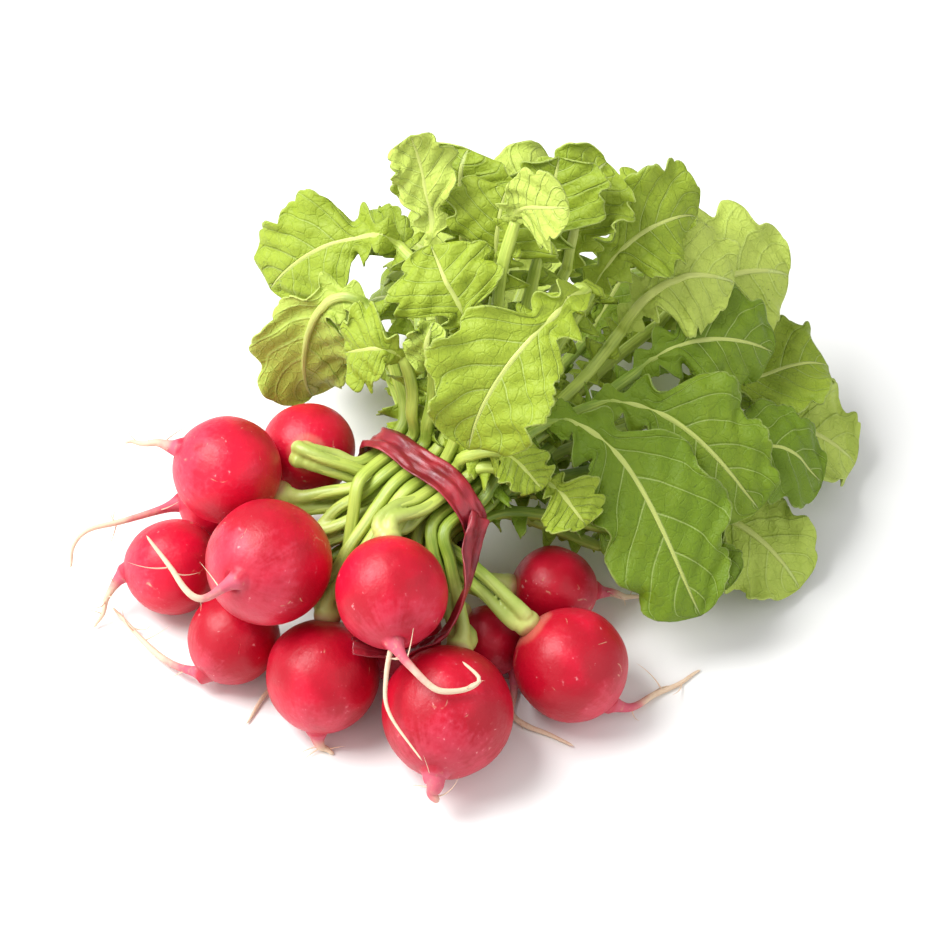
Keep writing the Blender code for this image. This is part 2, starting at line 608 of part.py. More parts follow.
def leaf_mesh(rows, halves):
    """A closed sheet of the leaf's thickness, with the same triangles above and below."""
    bm = bmesh.new()
    normals = sheet_normals(rows)
    faces = [[bm.verts.new(p + n * h * side) for p, n, h in zip(row, normal, half)]
             for side in (1, -1) for row, normal, half in zip(rows, normals, halves)]
    top, bottom = faces[:len(rows)], faces[len(rows):]
    for k in range(len(rows) - 1):
        for skin, turned in ((top, 1), (bottom, -1)):
            for corners in zip_rows(len(rows[k]), len(rows[k + 1])):
                bm.faces.new([skin[k + row][index] for row, index in corners][::turned])
        for edge in (0, -1):
            a, b, c, d = top[k][edge], top[k + 1][edge], bottom[k + 1][edge], bottom[k][edge]
            bm.faces.new((a, b, c))
            bm.faces.new((a, c, d))
    for k in (0, -1):
        for m in range(len(rows[k]) - 1):
            a, b, c, d = top[k][m], top[k][m + 1], bottom[k][m + 1], bottom[k][m]
            bm.faces.new((a, b, c))
            bm.faces.new((a, c, d))
    return bm


def knob_mesh(name, centre):
    """The crown where a plant's stalks grow together."""
    base, way, side = crown_frame(name, centre)
    bm = bmesh.new()
    rings_to_mesh(bm, [ring(base + way * h, way, side, r, 10)
                       for h, r in ((0, CROWN_RADIUS - 0.2), (1.5, KNOB_RADIUS), (KNOB_LENGTH, KNOB_RADIUS - 0.8))])
    return bm


def fused(name, meshes, material, collection):
    """One solid from several closed meshes."""
    pieces = bpy.data.collections.new(name + "_pieces")
    bpy.context.scene.collection.children.link(pieces)
    for number, bm in enumerate(meshes[1:]):
        pieces.objects.link(new_object(f"{name}_piece_{number}", bm, None))
    obj = new_object(name, meshes[0], material)
    collection.objects.link(obj)
    union = obj.modifiers.new("union", "BOOLEAN")
    union.operation = "UNION"
    union.operand_type = "COLLECTION"
    union.collection = pieces
    union.solver = "MANIFOLD"
    with bpy.context.temp_override(object=obj, active_object=obj, selected_objects=[obj]):
        bpy.ops.object.modifier_apply(modifier=union.name)
    for piece in list(pieces.objects):
        bpy.data.objects.remove(piece)
    bpy.data.collections.remove(pieces)
    return obj


# The tie


def tie_oval(angle, grow):
    """A point on the oval band round the stalks."""
    c, s = math.cos(angle), math.sin(angle)
    stretch = (abs(c)**2.5 + abs(s)**2.5)**(-1 / 2.5)
    return TIE_CENTRE + [0, (TIE_HALF_WIDTH + grow) * c * stretch, (TIE_HALF_HEIGHT + grow) * s * stretch]


def tie_meshes():
    band = bmesh.new()
    half = TIE_BAND / 2
    loops = []
    for k in range(TIE_STEPS):
        angle = 2 * math.pi * k / TIE_STEPS
        inner, outer = tie_oval(angle, 0), tie_oval(angle, TIE_THICKNESS)
        loops.append([band.verts.new(inner + [-half, 0, 0]), band.verts.new(outer + [-half, 0, 0]),
                      band.verts.new(outer + [half, 0, 0]), band.verts.new(inner + [half, 0, 0])])
    for k in range(TIE_STEPS):
        a, b = loops[k], loops[(k + 1) % TIE_STEPS]
        for m in range(4):
            band.faces.new((a[m], b[m], b[(m + 1) % 4], a[(m + 1) % 4]))
    path = smooth_path(np.hstack([TIE_TAIL, TIE_TAIL_FACING]), 12)
    rows, halves = [], []
    for p, t, facing in zip(path[:, :3], tangents(path[:, :3]), path[:, 3:]):
        across = unit(np.cross(t, facing)) * TIE_TAIL_HALF
        rows.append(np.array([p - across, p, p + across]))
        halves.append(np.full(3, TIE_THICKNESS / 2))
    return [band, leaf_mesh(rows, halves)]


def leaf_slots(places):
    """Gives the leaves of each layer to the slots of one row, in the order that they fan out."""
    slot_of = {}
    first = 0
    for count in SLOT_ROWS:
        layer = range(first, first + count)
        fan = sorted(layer, key=lambda k: -math.atan2(LEAVES[k][0][1] + LEAVES[k][1][1],
                                                      LEAVES[k][0][0] + LEAVES[k][1][0] + 40))
        slot_of.update(zip(fan, layer))
        first += count
    return slot_of


def stacked_leaves(centres):
    """Each leaf's plant, points and half thicknesses, with every leaf clear of those below it."""
    places = slots()
    owners = share_slots(places, centres)
    chains = route_stalks(places, owners, centres)
    taken = empty_map(centres, chains)
    rng = np.random.default_rng(SEED)
    slot_of = leaf_slots(places)
    leaves = []
    for number, leaf in enumerate(LEAVES):
        slot = slot_of[number]
        rows, halves, tie_at, blade_from = leaf_grid(chains[slot], places[slot], leaf, rng)
        if folds_back(leaf):
            stalk = lift_clear(rows[:blade_from + 1], halves[:blade_from + 1], tie_at, taken)
            turned = turned_like(rows[blade_from:], stalk[-1])
            rows = stalk[:-1] + lift_clear(turned, halves[blade_from:], 0, taken)
        else:
            rows = lift_clear(rows, halves, tie_at, taken)
        leaves.append((owners[slot], rows, halves))
    return leaves


def build():
    for obj in list(bpy.data.objects):
        bpy.data.objects.remove(obj)
    bunch = bpy.data.collections.new("radish_bunch")
    bpy.context.scene.collection.children.link(bunch)
    red = make_material("radish_skin", (0.62, 0.015, 0.06), 0.35)
    green = make_material("leaf_green", (0.28, 0.48, 0.04), 0.55)
    ribbon = make_material("tie_red", (0.28, 0.02, 0.04), 0.5)
    centres = settled_roots()
    for name, centre in centres.items():
        body, branch = radish_mesh(name, centre)
        if centre[2] < 20:
            flatten_underside(body)
        if branch:
            fused(name, [body, branch], red, bunch)
        else:
            bunch.objects.link(new_object(name, body, red))
    tops = {name: [knob_mesh(name, centre)] for name, centre in centres.items()}
    for owner, rows, halves in stacked_leaves(centres):
        tops[owner].append(leaf_mesh(rows, halves))
    for name, meshes in tops.items():
        fused(name.replace("radish", "leaf_top"), meshes, green, bunch)
    fused("tie", tie_meshes(), ribbon, bunch)
    centre_bunch(bunch)


def centre_bunch(collection):
    """Moves the bunch so that the origin is under its middle, on the table."""
    corners = np.array([v.co for obj in collection.objects for v in obj.data.vertices])
    low, high = corners.min(axis=0), corners.max(axis=0)
    shift = Vector((-(low[0] + high[0]) / 2, -(low[1] + high[1]) / 2, -low[2]))
    for obj in collection.objects:
        obj.location = shift


build()
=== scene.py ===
# A tied bunch of radishes: the finish of its roots, leaves and tie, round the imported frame.
# The layout works in millimetres in the bundle's own frame, and the meshes are moved into the frame's place.
import math

import bpy
import numpy as np
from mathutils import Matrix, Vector


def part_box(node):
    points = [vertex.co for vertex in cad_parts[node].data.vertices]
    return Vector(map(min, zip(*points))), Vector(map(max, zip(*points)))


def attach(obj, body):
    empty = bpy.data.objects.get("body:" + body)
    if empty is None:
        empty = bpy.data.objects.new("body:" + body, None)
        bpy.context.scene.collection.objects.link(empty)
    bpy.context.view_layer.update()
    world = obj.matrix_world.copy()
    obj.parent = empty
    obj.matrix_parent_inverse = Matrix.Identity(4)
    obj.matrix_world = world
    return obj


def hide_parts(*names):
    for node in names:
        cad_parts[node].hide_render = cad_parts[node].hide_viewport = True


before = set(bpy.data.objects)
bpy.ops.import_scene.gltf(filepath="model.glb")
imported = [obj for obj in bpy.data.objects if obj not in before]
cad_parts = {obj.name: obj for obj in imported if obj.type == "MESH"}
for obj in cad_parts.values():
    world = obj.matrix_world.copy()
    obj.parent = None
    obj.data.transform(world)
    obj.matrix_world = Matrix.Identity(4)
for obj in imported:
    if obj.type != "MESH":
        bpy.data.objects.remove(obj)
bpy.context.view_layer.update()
bpy.ops.object.select_all(action="DESELECT")
print("frame loaded")

# Layout
mm = 0.001
fullTurn = 6.28  # for random phases
up = np.array([0.0, 0.0, 1.0])
gap = 0.5  # clearance kept between neighbouring pieces
floorFlat = 0.35  # how far a root's underside is flattened where it rests
# Roots: bulb radius, centre (x, y, z), way the taproot points, and the taproot's course from its base.
rootTable = {
    "radish_01": (12.7, (-15, 41, 31), (0.5, 0.5, -0.7), [(0, 3, -3), (-3, 7, -6), (-8, 10, -8)]),
    "radish_02": (14.3, (-38, 44, 40), (-0.5, 0.75, 0.42), [(-3, 4, 0.3), (-6, 7, 0.6), (-9, 10, 0)]),
    "radish_03": (13.0, (-58, 48, 13), (-0.8, 0.6, -0.05), [(-3, 0, -3), (-7, -1, -7), (-12, -2, -11)]),
    "radish_04": (11.5, (-33, 57, 11), (-0.75, 0.66, 0), [(-9, 2, 1), (-21, 8, 1), (-28, 10, -3),
                                                          (-30, 10, -10)]),
    "radish_05": (16.2, (-52, 14, 40), (-0.83, -0.23, 0.5), [(-9, 3, -1), (-10, 12, 3), (-9, 21, 8)]),
    "radish_06": (12.2, (-62, 19, 12), (-0.9, 0, -0.42), [(-1, 11, -3), (-1, 25, -4), (1, 38, -5)]),
    "radish_07": (14.8, (-54, -8, 15), (-0.6, -0.48, -0.64), [(0, -1, -2), (1, -3, -4), (2, -5, -5)]),
    "radish_08": (14.4, (-37, -16, 41), (-0.65, -0.75, -0.15), [(-1, -6, 0), (0, -16, -3), (10, -20, -4),
                                                               (10, -14, -3)]),
    "radish_09": (17.0, (-41, -40, 17), (-0.79, -0.55, -0.2), [(-1, -1, -1), (-2, -2, -3), (-3, -3, -5)]),
    "radish_10": (15.0, (-7, -51, 15), (0.2, -0.78, -0.55), [(4, -2, -2), (13, -3, -4), (28, -6, -6)]),
    "radish_11": (11.5, (10, -29, 13), (0.75, -0.62, -0.2), [(4, -2, -3), (8, -4, -6), (12, -6, -9)]),
    "radish_12": (11.0, (-30, -10, 11), (-0.7, -0.15, -0.7), [(-5, 6, -0.5), (-22, 18, -1), (-36, 14, -1)]),
    "radish_13": (9.5, (-13.5, -28, 10), (0.2, -0.8, -0.5), [(-6, -4, -2), (-11, -10, -2.5), (-6, -26, -3)]),
}
usualLeaves = 3
leavesOf = {"radish_01": 4, "radish_05": 4, "radish_08": 4, "radish_04": 2, "radish_12": 2, "radish_13": 2}
sideRoots = {"radish_08": [(-5, -2, -5), (-10, -8, -10), (-12, -22, -15)]}
# The tie holds the stalks in rows, one slot for each leaf.
tieCentre = np.array([-6.0, 5.0, 37.0])
tieReach = (-6.7, 6.5)  # where the stalks run straight, before and after the tie's middle
slotRows = (6, 9, 9, 9, 6)
slotPitch = 4.0
tieHalfWidth = 20.3
tieHalfHeight = 12.4
tieBand = 9.0
tieThickness = 0.8
# The tie's loose end: points along it, and the way its face looks at each.
tieTail = [(-4, -14.9, 42), (-12, -19.5, 40), (-21, -26, 35), (-31, -28, 29), (-41, -23, 25.5),
           (-50, -15, 30)]
tieTailFacing = [(-0.3, -0.85, 0.4), (-0.2, -0.9, 0.3), (0.1, -0.8, -0.3), (0.3, -0.7, -0.6),
                 (-0.1, -0.7, -0.7), (-0.2, 0.2, -0.95)]
tieTailHalf = 3.4
stalkHalf = 1.3  # half the width of a stalk
stalkRib = 1.4  # half its height at the middle
stalkEdge = 0.6  # half its height at its edges
bladeHalf = 0.38  # half a blade's thickness at its edge
knobRadius = 4.3
knobLength = 5.0
# Leaves, from the lowest layer up: where the blade begins, its tip, how far it arches, its width,
# and its roll in degrees. Each row of slots takes the next leaves of this list.
leafTable = [
    ((78, -8, 12), (118, -16, 3), 5, 36, 0),
    ((74, 16, 12), (112, 28, 3), 5, 36, 0),
    ((78, -30, 20), (104, -56, 7), 6, 36, 0),
    ((46, 42, 12), (64, 76, 3), 6, 34, 0),
    ((48, -35, 17), (62, -72, 3), 6, 36, 0),
    ((28, -28, 12), (34, -62, 3), 4, 26, 0),
    ((76, -2, 25), (116, -4, 16), 6, 36, 0),
    ((70, 18, 26), (106, 30, 15), 6, 36, 0),
    ((74, -20, 26), (112, -36, 14), 6, 36, 0),
    ((56, 32, 27), (84, 56, 15), 6, 36, 0),
    ((44, 42, 28), (62, 74, 15), 6, 30, 0),
    ((55, -30, 28), (82, -60, 14), 7, 34, 0),
    ((34, 46, 30), (40, 78, 18), 6, 30, 0),
    ((20, 44, 30), (18, 76, 12), 6, 28, 0),
    ((28, -33, 24), (40, -64, 12), 6, 24, 0),
    ((76, -4, 46), (114, -18, 48), 8, 44, 0),
    ((70, 12, 40), (104, 14, 34), 7, 36, 0),
    ((58, 26, 42), (86, 42, 36), 7, 38, 0),
    ((56, -14, 50), (92, -32, 44), 7, 34, 0),
    ((62, -4, 50), (92, -18, 46), 7, 34, 0),
    ((60, 4, 52), (94, -6, 44), 8, 34, 0),
    ((60, 10, 54), (86, 14, 60), 5, 32, 0),
    ((42, 42, 44), (58, 76, 32), 6, 34, 0),
    ((36, 50, 52), (40, 78, 54), 5, 18, 0),
    ((54, 12, 58), (76, 20, 72), -4, 34, 0),
    ((46, 30, 58), (64, 38, 72), 4, 38, 0),
    ((42, 16, 60), (62, 22, 70), 4, 34, 0),
    ((38, 57, 58), (14, 86, 38), 7, 38, 0),
    ((38, 28, 62), (52, 42, 92), -5, 20, 0),
    ((58, 14, 62), (64, 0, 80), 3, 24, 0),
    ((14, 47, 63), (4, 59, 24), 8, 32, 0),
    ((40, -14, 48), (58, -58, 28), 8, 38, 0),
    ((26, -10, 48), (27, -66, 18), 9, 40, 0),
    ((25, 10, 62), (36, 28, 74), 3, 34, 0),
    ((12, 20, 56), (3, 35, 58), 2, 26, 0),
    ((13, -20, 46), (14, -36, 38), 3, 20, 0),
    ((14, 13, 56), (20, 16, 70), 2, 13, 0),
    ((9, -10, 51), (10, -24, 48), 2, 15, 0),
    ((50, -8, 72), (3, -8, 54), 12, 38, 0),
]
lowFacing = np.array([-0.15, 0.0, 0.99])  # the way the blades of the lower layers face
highFacing = np.array([-0.4, -0.4, 0.82])  # and those of the upper layers, from highLayers up
highLayers = 42
bigLeaf = 36  # a leaf at least this wide gets more points across
smallLeaf = 17  # one narrower than this is a plain oval
# A leaf's half width along its blade, from the stalk to the tip, as shares of the widest.
broadProfile = ((0.0, 0.09), (0.08, 0.28), (0.14, 0.14), (0.22, 0.46), (0.29, 0.25), (0.39, 0.74),
                (0.48, 0.98), (0.56, 0.82), (0.65, 1.0), (0.76, 0.78), (0.86, 0.74), (0.95, 0.40),
                (1.0, 0.12))
sideWave = 0.12  # how much one side of a blade differs from the other
smallProfile = ((0.0, 0.2), (0.15, 0.5), (0.35, 0.9), (0.6, 1.0), (0.8, 0.8), (0.94, 0.45), (1.0, 0.15))
seed = 7
settleRounds = 200
restingBelow = 20  # a root whose centre is given lower than this rests on the floor
routeSteps = 320
drawnBy = 0.4  # the share of the steps by which the stalks' ends have reached their crowns
solidOver = 0.2  # bulbs and tie push after twice this share, and in full after three times it
easedBy = 0.85  # the share up to which the stalks are kept smooth
freePoints = 5  # points of a stalk that are free to move between its crown and the tie
combLength = 14
stalkStep = 8.0
stalkClear = 2 * stalkRib + 0.75  # distance between the middles of two stalks
ballGap = 0.9  # and how far their surfaces keep out of bulbs, crowns and tie
# The map of what lies where, seen from a level axis behind the tie: distance from it, place along it.
pivot = tieCentre - [25, 5, 0]
liftSlope = 0.4  # how steeply a leaf's lift may change along it
foldTurn = 1.6  # how far such a leaf's stalk has already turned where its blade begins
mapReach = 190
mapHalf = 120
lowAngle = math.radians(-100)


def unit(vector):
    vector = np.asarray(vector, float)
    return vector / np.linalg.norm(vector)


# lengths of the steps of a path
def stepLengths(points):
    return np.linalg.norm(np.diff(points, axis=0), axis=1)


# distance along a path at each of its points
def reachAlong(points):
    return np.concatenate([[0], np.cumsum(stepLengths(points))])


# a way across the given one
def sideOf(way):
    return unit(np.cross(way, up if abs(way[2]) < 0.9 else np.array([1.0, 0, 0])))


# points at equal steps along a smooth curve through the given ones
def smoothPath(points, count):
    p = np.asarray(points, float)
    p = np.vstack([2 * p[0] - p[1], p, 2 * p[-1] - p[-2]])
    fine = []
    for i in range(1, len(p) - 2):
        for t in np.linspace(0, 1, 12, endpoint=False):
            a, b, c, d = p[i - 1:i + 3]
            fine.append(0.5 * (2 * b + (c - a) * t + (2 * a - 5 * b + 4 * c - d) * t**2
                               + (3 * b - a - 3 * c + d) * t**3))
    fine.append(p[-2])
    fine = np.array(fine)
    steps = reachAlong(fine[:, :3])
    at = np.linspace(0, steps[-1], count)
    return np.column_stack([np.interp(at, steps, values) for values in fine.T])


def tangents(points):
    return np.array([unit(v) for v in np.gradient(points, axis=0)])


# a normal carried along a curve without twist
def carriedNormals(along, first):
    normals = [unit(first - along[0] * (first @ along[0]))]
    for t in along[1:]:
        n = normals[-1]
        normals.append(unit(n - t * (n @ t)))
    return np.array(normals)


# the bulbs' centres once those that are too close have pushed each other apart
def settledRoots():
    radii = np.array([r[0] for r in rootTable.values()])
    places = np.array([r[1] for r in rootTable.values()], float)
    onFloor = places[:, 2] < restingBelow
    for _ in range(settleRounds):
        places[onFloor, 2] = radii[onFloor] - floorFlat
        apart = places[:, None] - places[None]
        distance = np.linalg.norm(apart, axis=2) + np.eye(len(radii)) * 1e3
        short = np.maximum(0, radii[:, None] + radii + gap - distance)
        places += 0.5 * (apart / distance[..., None] * short[..., None]).sum(axis=1)
    places[onFloor, 2] = radii[onFloor] - floorFlat
    return dict(zip(rootTable, places))


# where each stalk passes through the tie, row by row from the bottom, each row from +Y to -Y
def slots():
    places = []
    for row, count in enumerate(slotRows):
        z = tieCentre[2] + (row - (len(slotRows) - 1) / 2) * slotPitch
        places += [(tieCentre[1] + ((count - 1) / 2 - i) * slotPitch, z) for i in range(count)]
    return places


# gives each plant the free slots on the side it comes from, the plants that come in sideways first
def shareSlots(places, centres):
    entry = tieCentre + [tieReach[0], 0, 0]
    ahead = {name: crownFrame(name, centre)[0] - entry for name, centre in centres.items()}
    aside = {name: np.hypot(d[1], d[2]) for name, d in ahead.items()}
    sideways = {name: aside[name] / (aside[name] + max(0, -d[0])) for name, d in ahead.items()}
    free = list(range(len(places)))
    owners = {}
    for name in sorted(centres, key=lambda name: -sideways[name]):
        side = unit(ahead[name][1:]) * sideways[name]
        target = tieCentre[1:] + side * [tieHalfWidth, tieHalfHeight]
        for _ in range(leavesOf.get(name, usualLeaves)):
            best = min(free, key=lambda i: np.linalg.norm(places[i] - target))
            free.remove(best)
            owners[best] = name
    return owners


# shares along segments a-b and c-d, row by row, of their nearest points
def closestPoints(a, b, c, d):
    u, v, w = b - a, d - c, a - c
    uu, vv = (u * u).sum(1) + 1e-9, (v * v).sum(1) + 1e-9
    uv, uw, vw = (u * v).sum(1), (u * w).sum(1), (v * w).sum(1)
    bottom = uu * vv - uv * uv
    s = np.clip(np.where(bottom > 1e-9, (uv * vw - vv * uw) / np.maximum(bottom, 1e-9), 0.5), 0, 1)
    t = np.clip((uv * s + vw) / vv, 0, 1)
    s = np.clip((uv * t - uw) / uu, 0, 1)
    return s, t


# a crown's place, the way it points, and a way across it
def crownFrame(name, centre):
    way = -unit(rootTable[name][2])
    return centre + way * (rootTable[name][0] * 0.97 + 0.3), way, sideOf(way)


# each stalk's two points in its crown, and its two in the straight run through the tie
def stalkEnds(places, owners, centres):
    begun = {name: 0 for name in rootTable}
    starts, ends = [], []
    for index, (y, z) in enumerate(places):
        name = owners[index]
        crown, way, side = crownFrame(name, centres[name])
        turn = 2 * math.pi * begun[name] / leavesOf.get(name, usualLeaves) + 0.6
        begun[name] += 1
        out = math.cos(turn) * side + math.sin(turn) * np.cross(way, side)
        starts.append([crown + way * 1.6 + out * 1.6, crown + way * 6 + out * 2.4])
        ends.append([[tieCentre[0] + reach, y, z] for reach in tieReach])
    return np.array(starts), np.array(ends)


# balls that the stalks keep out of: the bulbs, the crowns, and beads along the tie
def obstacles(centres):
    names = list(rootTable)
    balls = [(centres[name], rootTable[name][0]) for name in names]
    for name in names:
        crown, way, _ = crownFrame(name, centres[name])
        balls.append((crown + way * knobLength / 2, knobRadius + 0.6))
    balls += [(tieOval(turn * math.pi / 9, 1.5), tieBand / 2) for turn in range(18)]
    balls += [(p, tieTailHalf + 0.3) for p in smoothPath(tieTail, 14)[2:]]
    return np.array([p for p, _ in balls]), np.array([r for _, r in balls]) + stalkRib + ballGap


# draws each stalk from a straight line behind its slot out to its crown, clear of all else
def routeStalks(places, owners, centres):
    names = list(rootTable)
    starts, ends = stalkEnds(places, owners, centres)
    back = np.linspace(-combLength, 0, freePoints + 3)[None, :-1, None] * [1.0, 0, 0]
    p = np.concatenate([ends[:, :1] + back, ends], axis=1)
    combed = p[:, :2].copy()
    plantOf = np.array([names.index(owners[index]) for index in range(len(places))])
    count, length = p.shape[:2]
    loose = np.ones(length)
    loose[[0, 1, -2, -1]] = 0
    ball, reach = obstacles(centres)
    reach = np.repeat(reach[None], count, axis=0)
    reach[np.arange(count), len(names) + plantOf] = 0
    chainOf, link = np.divmod(np.arange(count * (length - 1)), length - 1)
    i, j = np.triu_indices(len(chainOf), 1)
    same = plantOf[chainOf[i]] == plantOf[chainOf[j]]
    nearCrown = (link[i] < 2) | (link[j] < 2)
    keep = (chainOf[i] != chainOf[j]) & ~(same & nearCrown)
    i, j = i[keep], j[keep]
    first = chainOf[i] * length + link[i]
    second = chainOf[j] * length + link[j]
    for step in range(routeSteps):
        drawn = min(1, step / (drawnBy * routeSteps))
        solid = min(1, max(0, step / (solidOver * routeSteps) - 2))
        p[:, :2] = combed * (1 - drawn) + starts * drawn
        if step < easedBy * routeSteps:
            p[:, 2:-2] += 0.3 * ((p[:, 1:-3] + p[:, 3:-1]) / 2 - p[:, 2:-2])
        for share in (0.0, 1 / 3, 2 / 3):
            spots = p[:, :-1] * (1 - share) + p[:, 1:] * share
            away = spots[:, :, None] - ball
            distance = np.linalg.norm(away, axis=3)
            short = np.maximum(0, reach[:, None] * solid - distance)
            push = (away / distance[..., None] * short[..., None]).sum(axis=2)
            p[:, :-1] += push * loose[:-1, None]
            p[:, 1:] += push * loose[1:, None] * (share > 0)
        flat = p.reshape(-1, 3)
        s, t = closestPoints(flat[first], flat[first + 1], flat[second], flat[second + 1])
        between = (flat[first] * (1 - s)[:, None] + flat[first + 1] * s[:, None]
                   - flat[second] * (1 - t)[:, None] - flat[second + 1] * t[:, None])
        distance = np.linalg.norm(between, axis=1) + 1e-6
        short = np.maximum(0, stalkClear - distance)
        hit = short > 0
        push = between[hit] / distance[hit, None] * (0.5 * short[hit, None])
        change = np.zeros_like(flat)
        for corner, part in ((first, 1 - s), (first + 1, s), (second, t - 1), (second + 1, -t)):
            np.add.at(change, corner[hit], push * part[hit, None])
        p += change.reshape(p.shape) * loose[:, None]
        p[..., 2] = np.maximum(p[..., 2], stalkRib + 0.4)
    return [evened(chain) for chain in p]


# the same course with its points at even steps between the crown and the tie
def evened(chain):
    loose = chain[1:-1]
    length = stepLengths(loose).sum()
    count = max(3, round(length / stalkStep) + 1)
    return np.vstack([chain[:1], smoothPath(loose, count), chain[-1:]])


# a leaf's half widths as (share of the blade's length, share of the widest)
def bladeProfile(leaf):
    return smallProfile if leaf[3] < smallLeaf else broadProfile


# whether a leaf's blade lies back over its own stalk
def foldsBack(leaf):
    return leaf[1][0] < leaf[0][0] - 20


# the stalk beyond the tie and the blade's midrib: points, and where along them the blade begins
def leafCentreline(slot, leaf):
    base, tip, arch, _, _ = leaf
    base, tip = np.array(base, float), np.array(tip, float)
    start = np.array([tieCentre[0] + tieReach[-1], *slot])
    run = np.linalg.norm(base - start)
    ahead = unit(tip - base)
    into = unit(unit(base - start) + (foldTurn if foldsBack(leaf) else 0.5) * ahead)
    t = np.linspace(0, 1, 5)[:, None]
    stalk = (start * (2 * t**3 - 3 * t**2 + 1) + np.array([1.0, 0, 0]) * 0.8 * run * (t**3 - 2 * t**2 + t)
             + base * (3 * t**2 - 2 * t**3) + into * 0.7 * run * (t**3 - t**2))
    above = unit(np.array([-(base - pivot)[2], 0, (base - pivot)[0]]))
    outward = unit(above - ahead * (above @ ahead))
    shares = [share for share, _ in bladeProfile(leaf)]
    u = np.array(shares)[:, None]
    span = np.linalg.norm(tip - base)
    blade = (base * (2 * u**3 - 3 * u**2 + 1) + into * 0.9 * span * (u**3 - 2 * u**2 + u)
             + tip * (3 * u**2 - 2 * u**3) + ahead * 0.8 * span * (u**3 - u**2))
    blade = blade + outward * arch * 4 * u * (1 - u)
    return np.vstack([stalk[:-1], blade]), len(stalk) - 1


# rows of points across a leaf's middle surface, from its crown to its tip, with half thicknesses
def leafGrid(rootSide, slot, leaf, rng):
    line, bladeFrom = leafCentreline(slot, leaf)
    _, _, _, width, roll = leaf
    line = np.vstack([rootSide[:-1], line])
    tieAt = len(rootSide) - 1
    bladeFrom += tieAt
    along = tangents(line)
    after = carriedNormals(along[tieAt:], up)
    before = carriedNormals(along[tieAt::-1], up)[::-1]
    normals = np.vstack([before[:-1], after])
    facing = lowFacing if leaf[0][2] < highLayers else highFacing
    shares, widths = zip(*bladeProfile(leaf))
    phase = rng.uniform(0, 2 * math.pi)
    cup = rng.uniform(-0.10, 0.22)
    rows, halves = [], []
    for i, (p, t, n) in enumerate(zip(line, along, normals)):
        u = shares[i - bladeFrom] if i >= bladeFrom else -1
        turning = min(1, max(0, (i - tieAt) / (bladeFrom - tieAt)))
        n = (1 - turning) * n + turning * unit(facing - t * (facing @ t))
        n = unit(n - t * (n @ t))
        turn = math.radians(roll) * turning
        n = n * math.cos(turn) + np.cross(t, n) * math.sin(turn)
        across = np.cross(n, t)
        if u < 0.02:
            swell = 1.25 if i == 0 else 1.0
            columns = (-1, 0, 1)
            half = stalkHalf * swell
            rows.append([p + across * half * v for v in columns])
            halves.append([stalkEdge * swell, stalkRib * swell, stalkEdge * swell])
            continue
        uneven = sideWave * math.sin(9 * u + phase)
        half = max(stalkHalf, widths[i - bladeFrom] * width / 2)
        big = width >= bigLeaf and 0.3 < u < 0.99
        columns = (-1, -0.5, 0, 0.5, 1) if big else (-1, 0, 1)
        lift = [cup * half * v * v + 0.05 * width * u * v * math.sin(9 * u + phase + 2 * v) for v in columns]
        rows.append([p + across * half * v * (1 + uneven * np.sign(v)) + n * h
                     for v, h in zip(columns, lift)])
        rib = stalkRib + (0.65 - stalkRib) * min(1, 2.5 * u)
        halves.append([rib if v == 0 else bladeHalf + 0.04 * (abs(v) < 1) for v in columns])
    return [np.array(r) for r in rows], [np.array(h) for h in halves], tieAt, bladeFrom


# triangles between two rows: each corner is (row 0 or 1, index)
def zipRows(na, nb):
    i = j = 0
    faces = []
    while i < na - 1 or j < nb - 1:
        nextA = (i + 1) / (na - 1) if i < na - 1 else 9
        nextB = (j + 1) / (nb - 1) if j < nb - 1 else 9
        if nextA < nextB or (nextA == nextB and (i + j) % 4 < 2):
            faces.append(((0, i), (1, j), (0, i + 1)))
            i += 1
        else:
            faces.append(((0, i), (1, j), (1, j + 1)))
            j += 1
    return faces


def gridTriangles(rows):
    starts = np.concatenate([[0], np.cumsum([len(r) for r in rows])])
    return [[starts[k + row] + index for row, index in corners]
            for k in range(len(rows) - 1) for corners in zipRows(len(rows[k]), len(rows[k + 1]))]


# distance from the pivot axis, angle round it, and place along it
def aroundPivot(points):
    x, z = points[:, 0] - pivot[0], points[:, 2] - pivot[2]
    return np.hypot(x, z), np.arctan2(z, x), points[:, 1]


# the highest angle that is taken at each place, to start with by the table, the bulbs and the tie
def emptyMap(centres, chains):
    reach = np.arange(mapReach) + 0.5
    floor = np.where(reach > pivot[2] - 0.6, -np.arcsin(np.minimum(1, (pivot[2] - 0.6) / reach)), lowAngle)
    taken = np.repeat(floor[:, None], 2 * mapHalf, axis=1)
    turns = np.radians(np.arange(0, 360, 4))
    for name, centre in centres.items():
        for tilt in np.radians(np.arange(-88, 90, 4)):
            ring = [np.cos(turns) * math.cos(tilt), np.sin(turns) * math.cos(tilt),
                    np.full(len(turns), math.sin(tilt))]
            shell = centre + (rootTable[name][0] + 1) * np.column_stack(ring)
            shell = shell[shell[:, 0] > pivot[0] + 6]
            mark(taken, *aroundPivot(shell))
    runs = np.vstack([smoothPath(chain, 150) for chain in chains]) + up * stalkRib
    oval = [tieOval(turn, tieThickness + 0.3) for turn in np.linspace(0, 2 * math.pi, 160)]
    band = np.array([spot + [x, 0, 0] for spot in oval for x in np.arange(-5, 5.5, 0.5)])
    takenByBundle = np.vstack([runs, band])
    distance, angle, place = aroundPivot(takenByBundle)
    before = distance < tieReach[-1] - pivot[0] + tieCentre[0] - 1
    before &= takenByBundle[:, 0] > pivot[0] + 6
    mark(taken, distance[before], angle[before], place[before])
    return taken


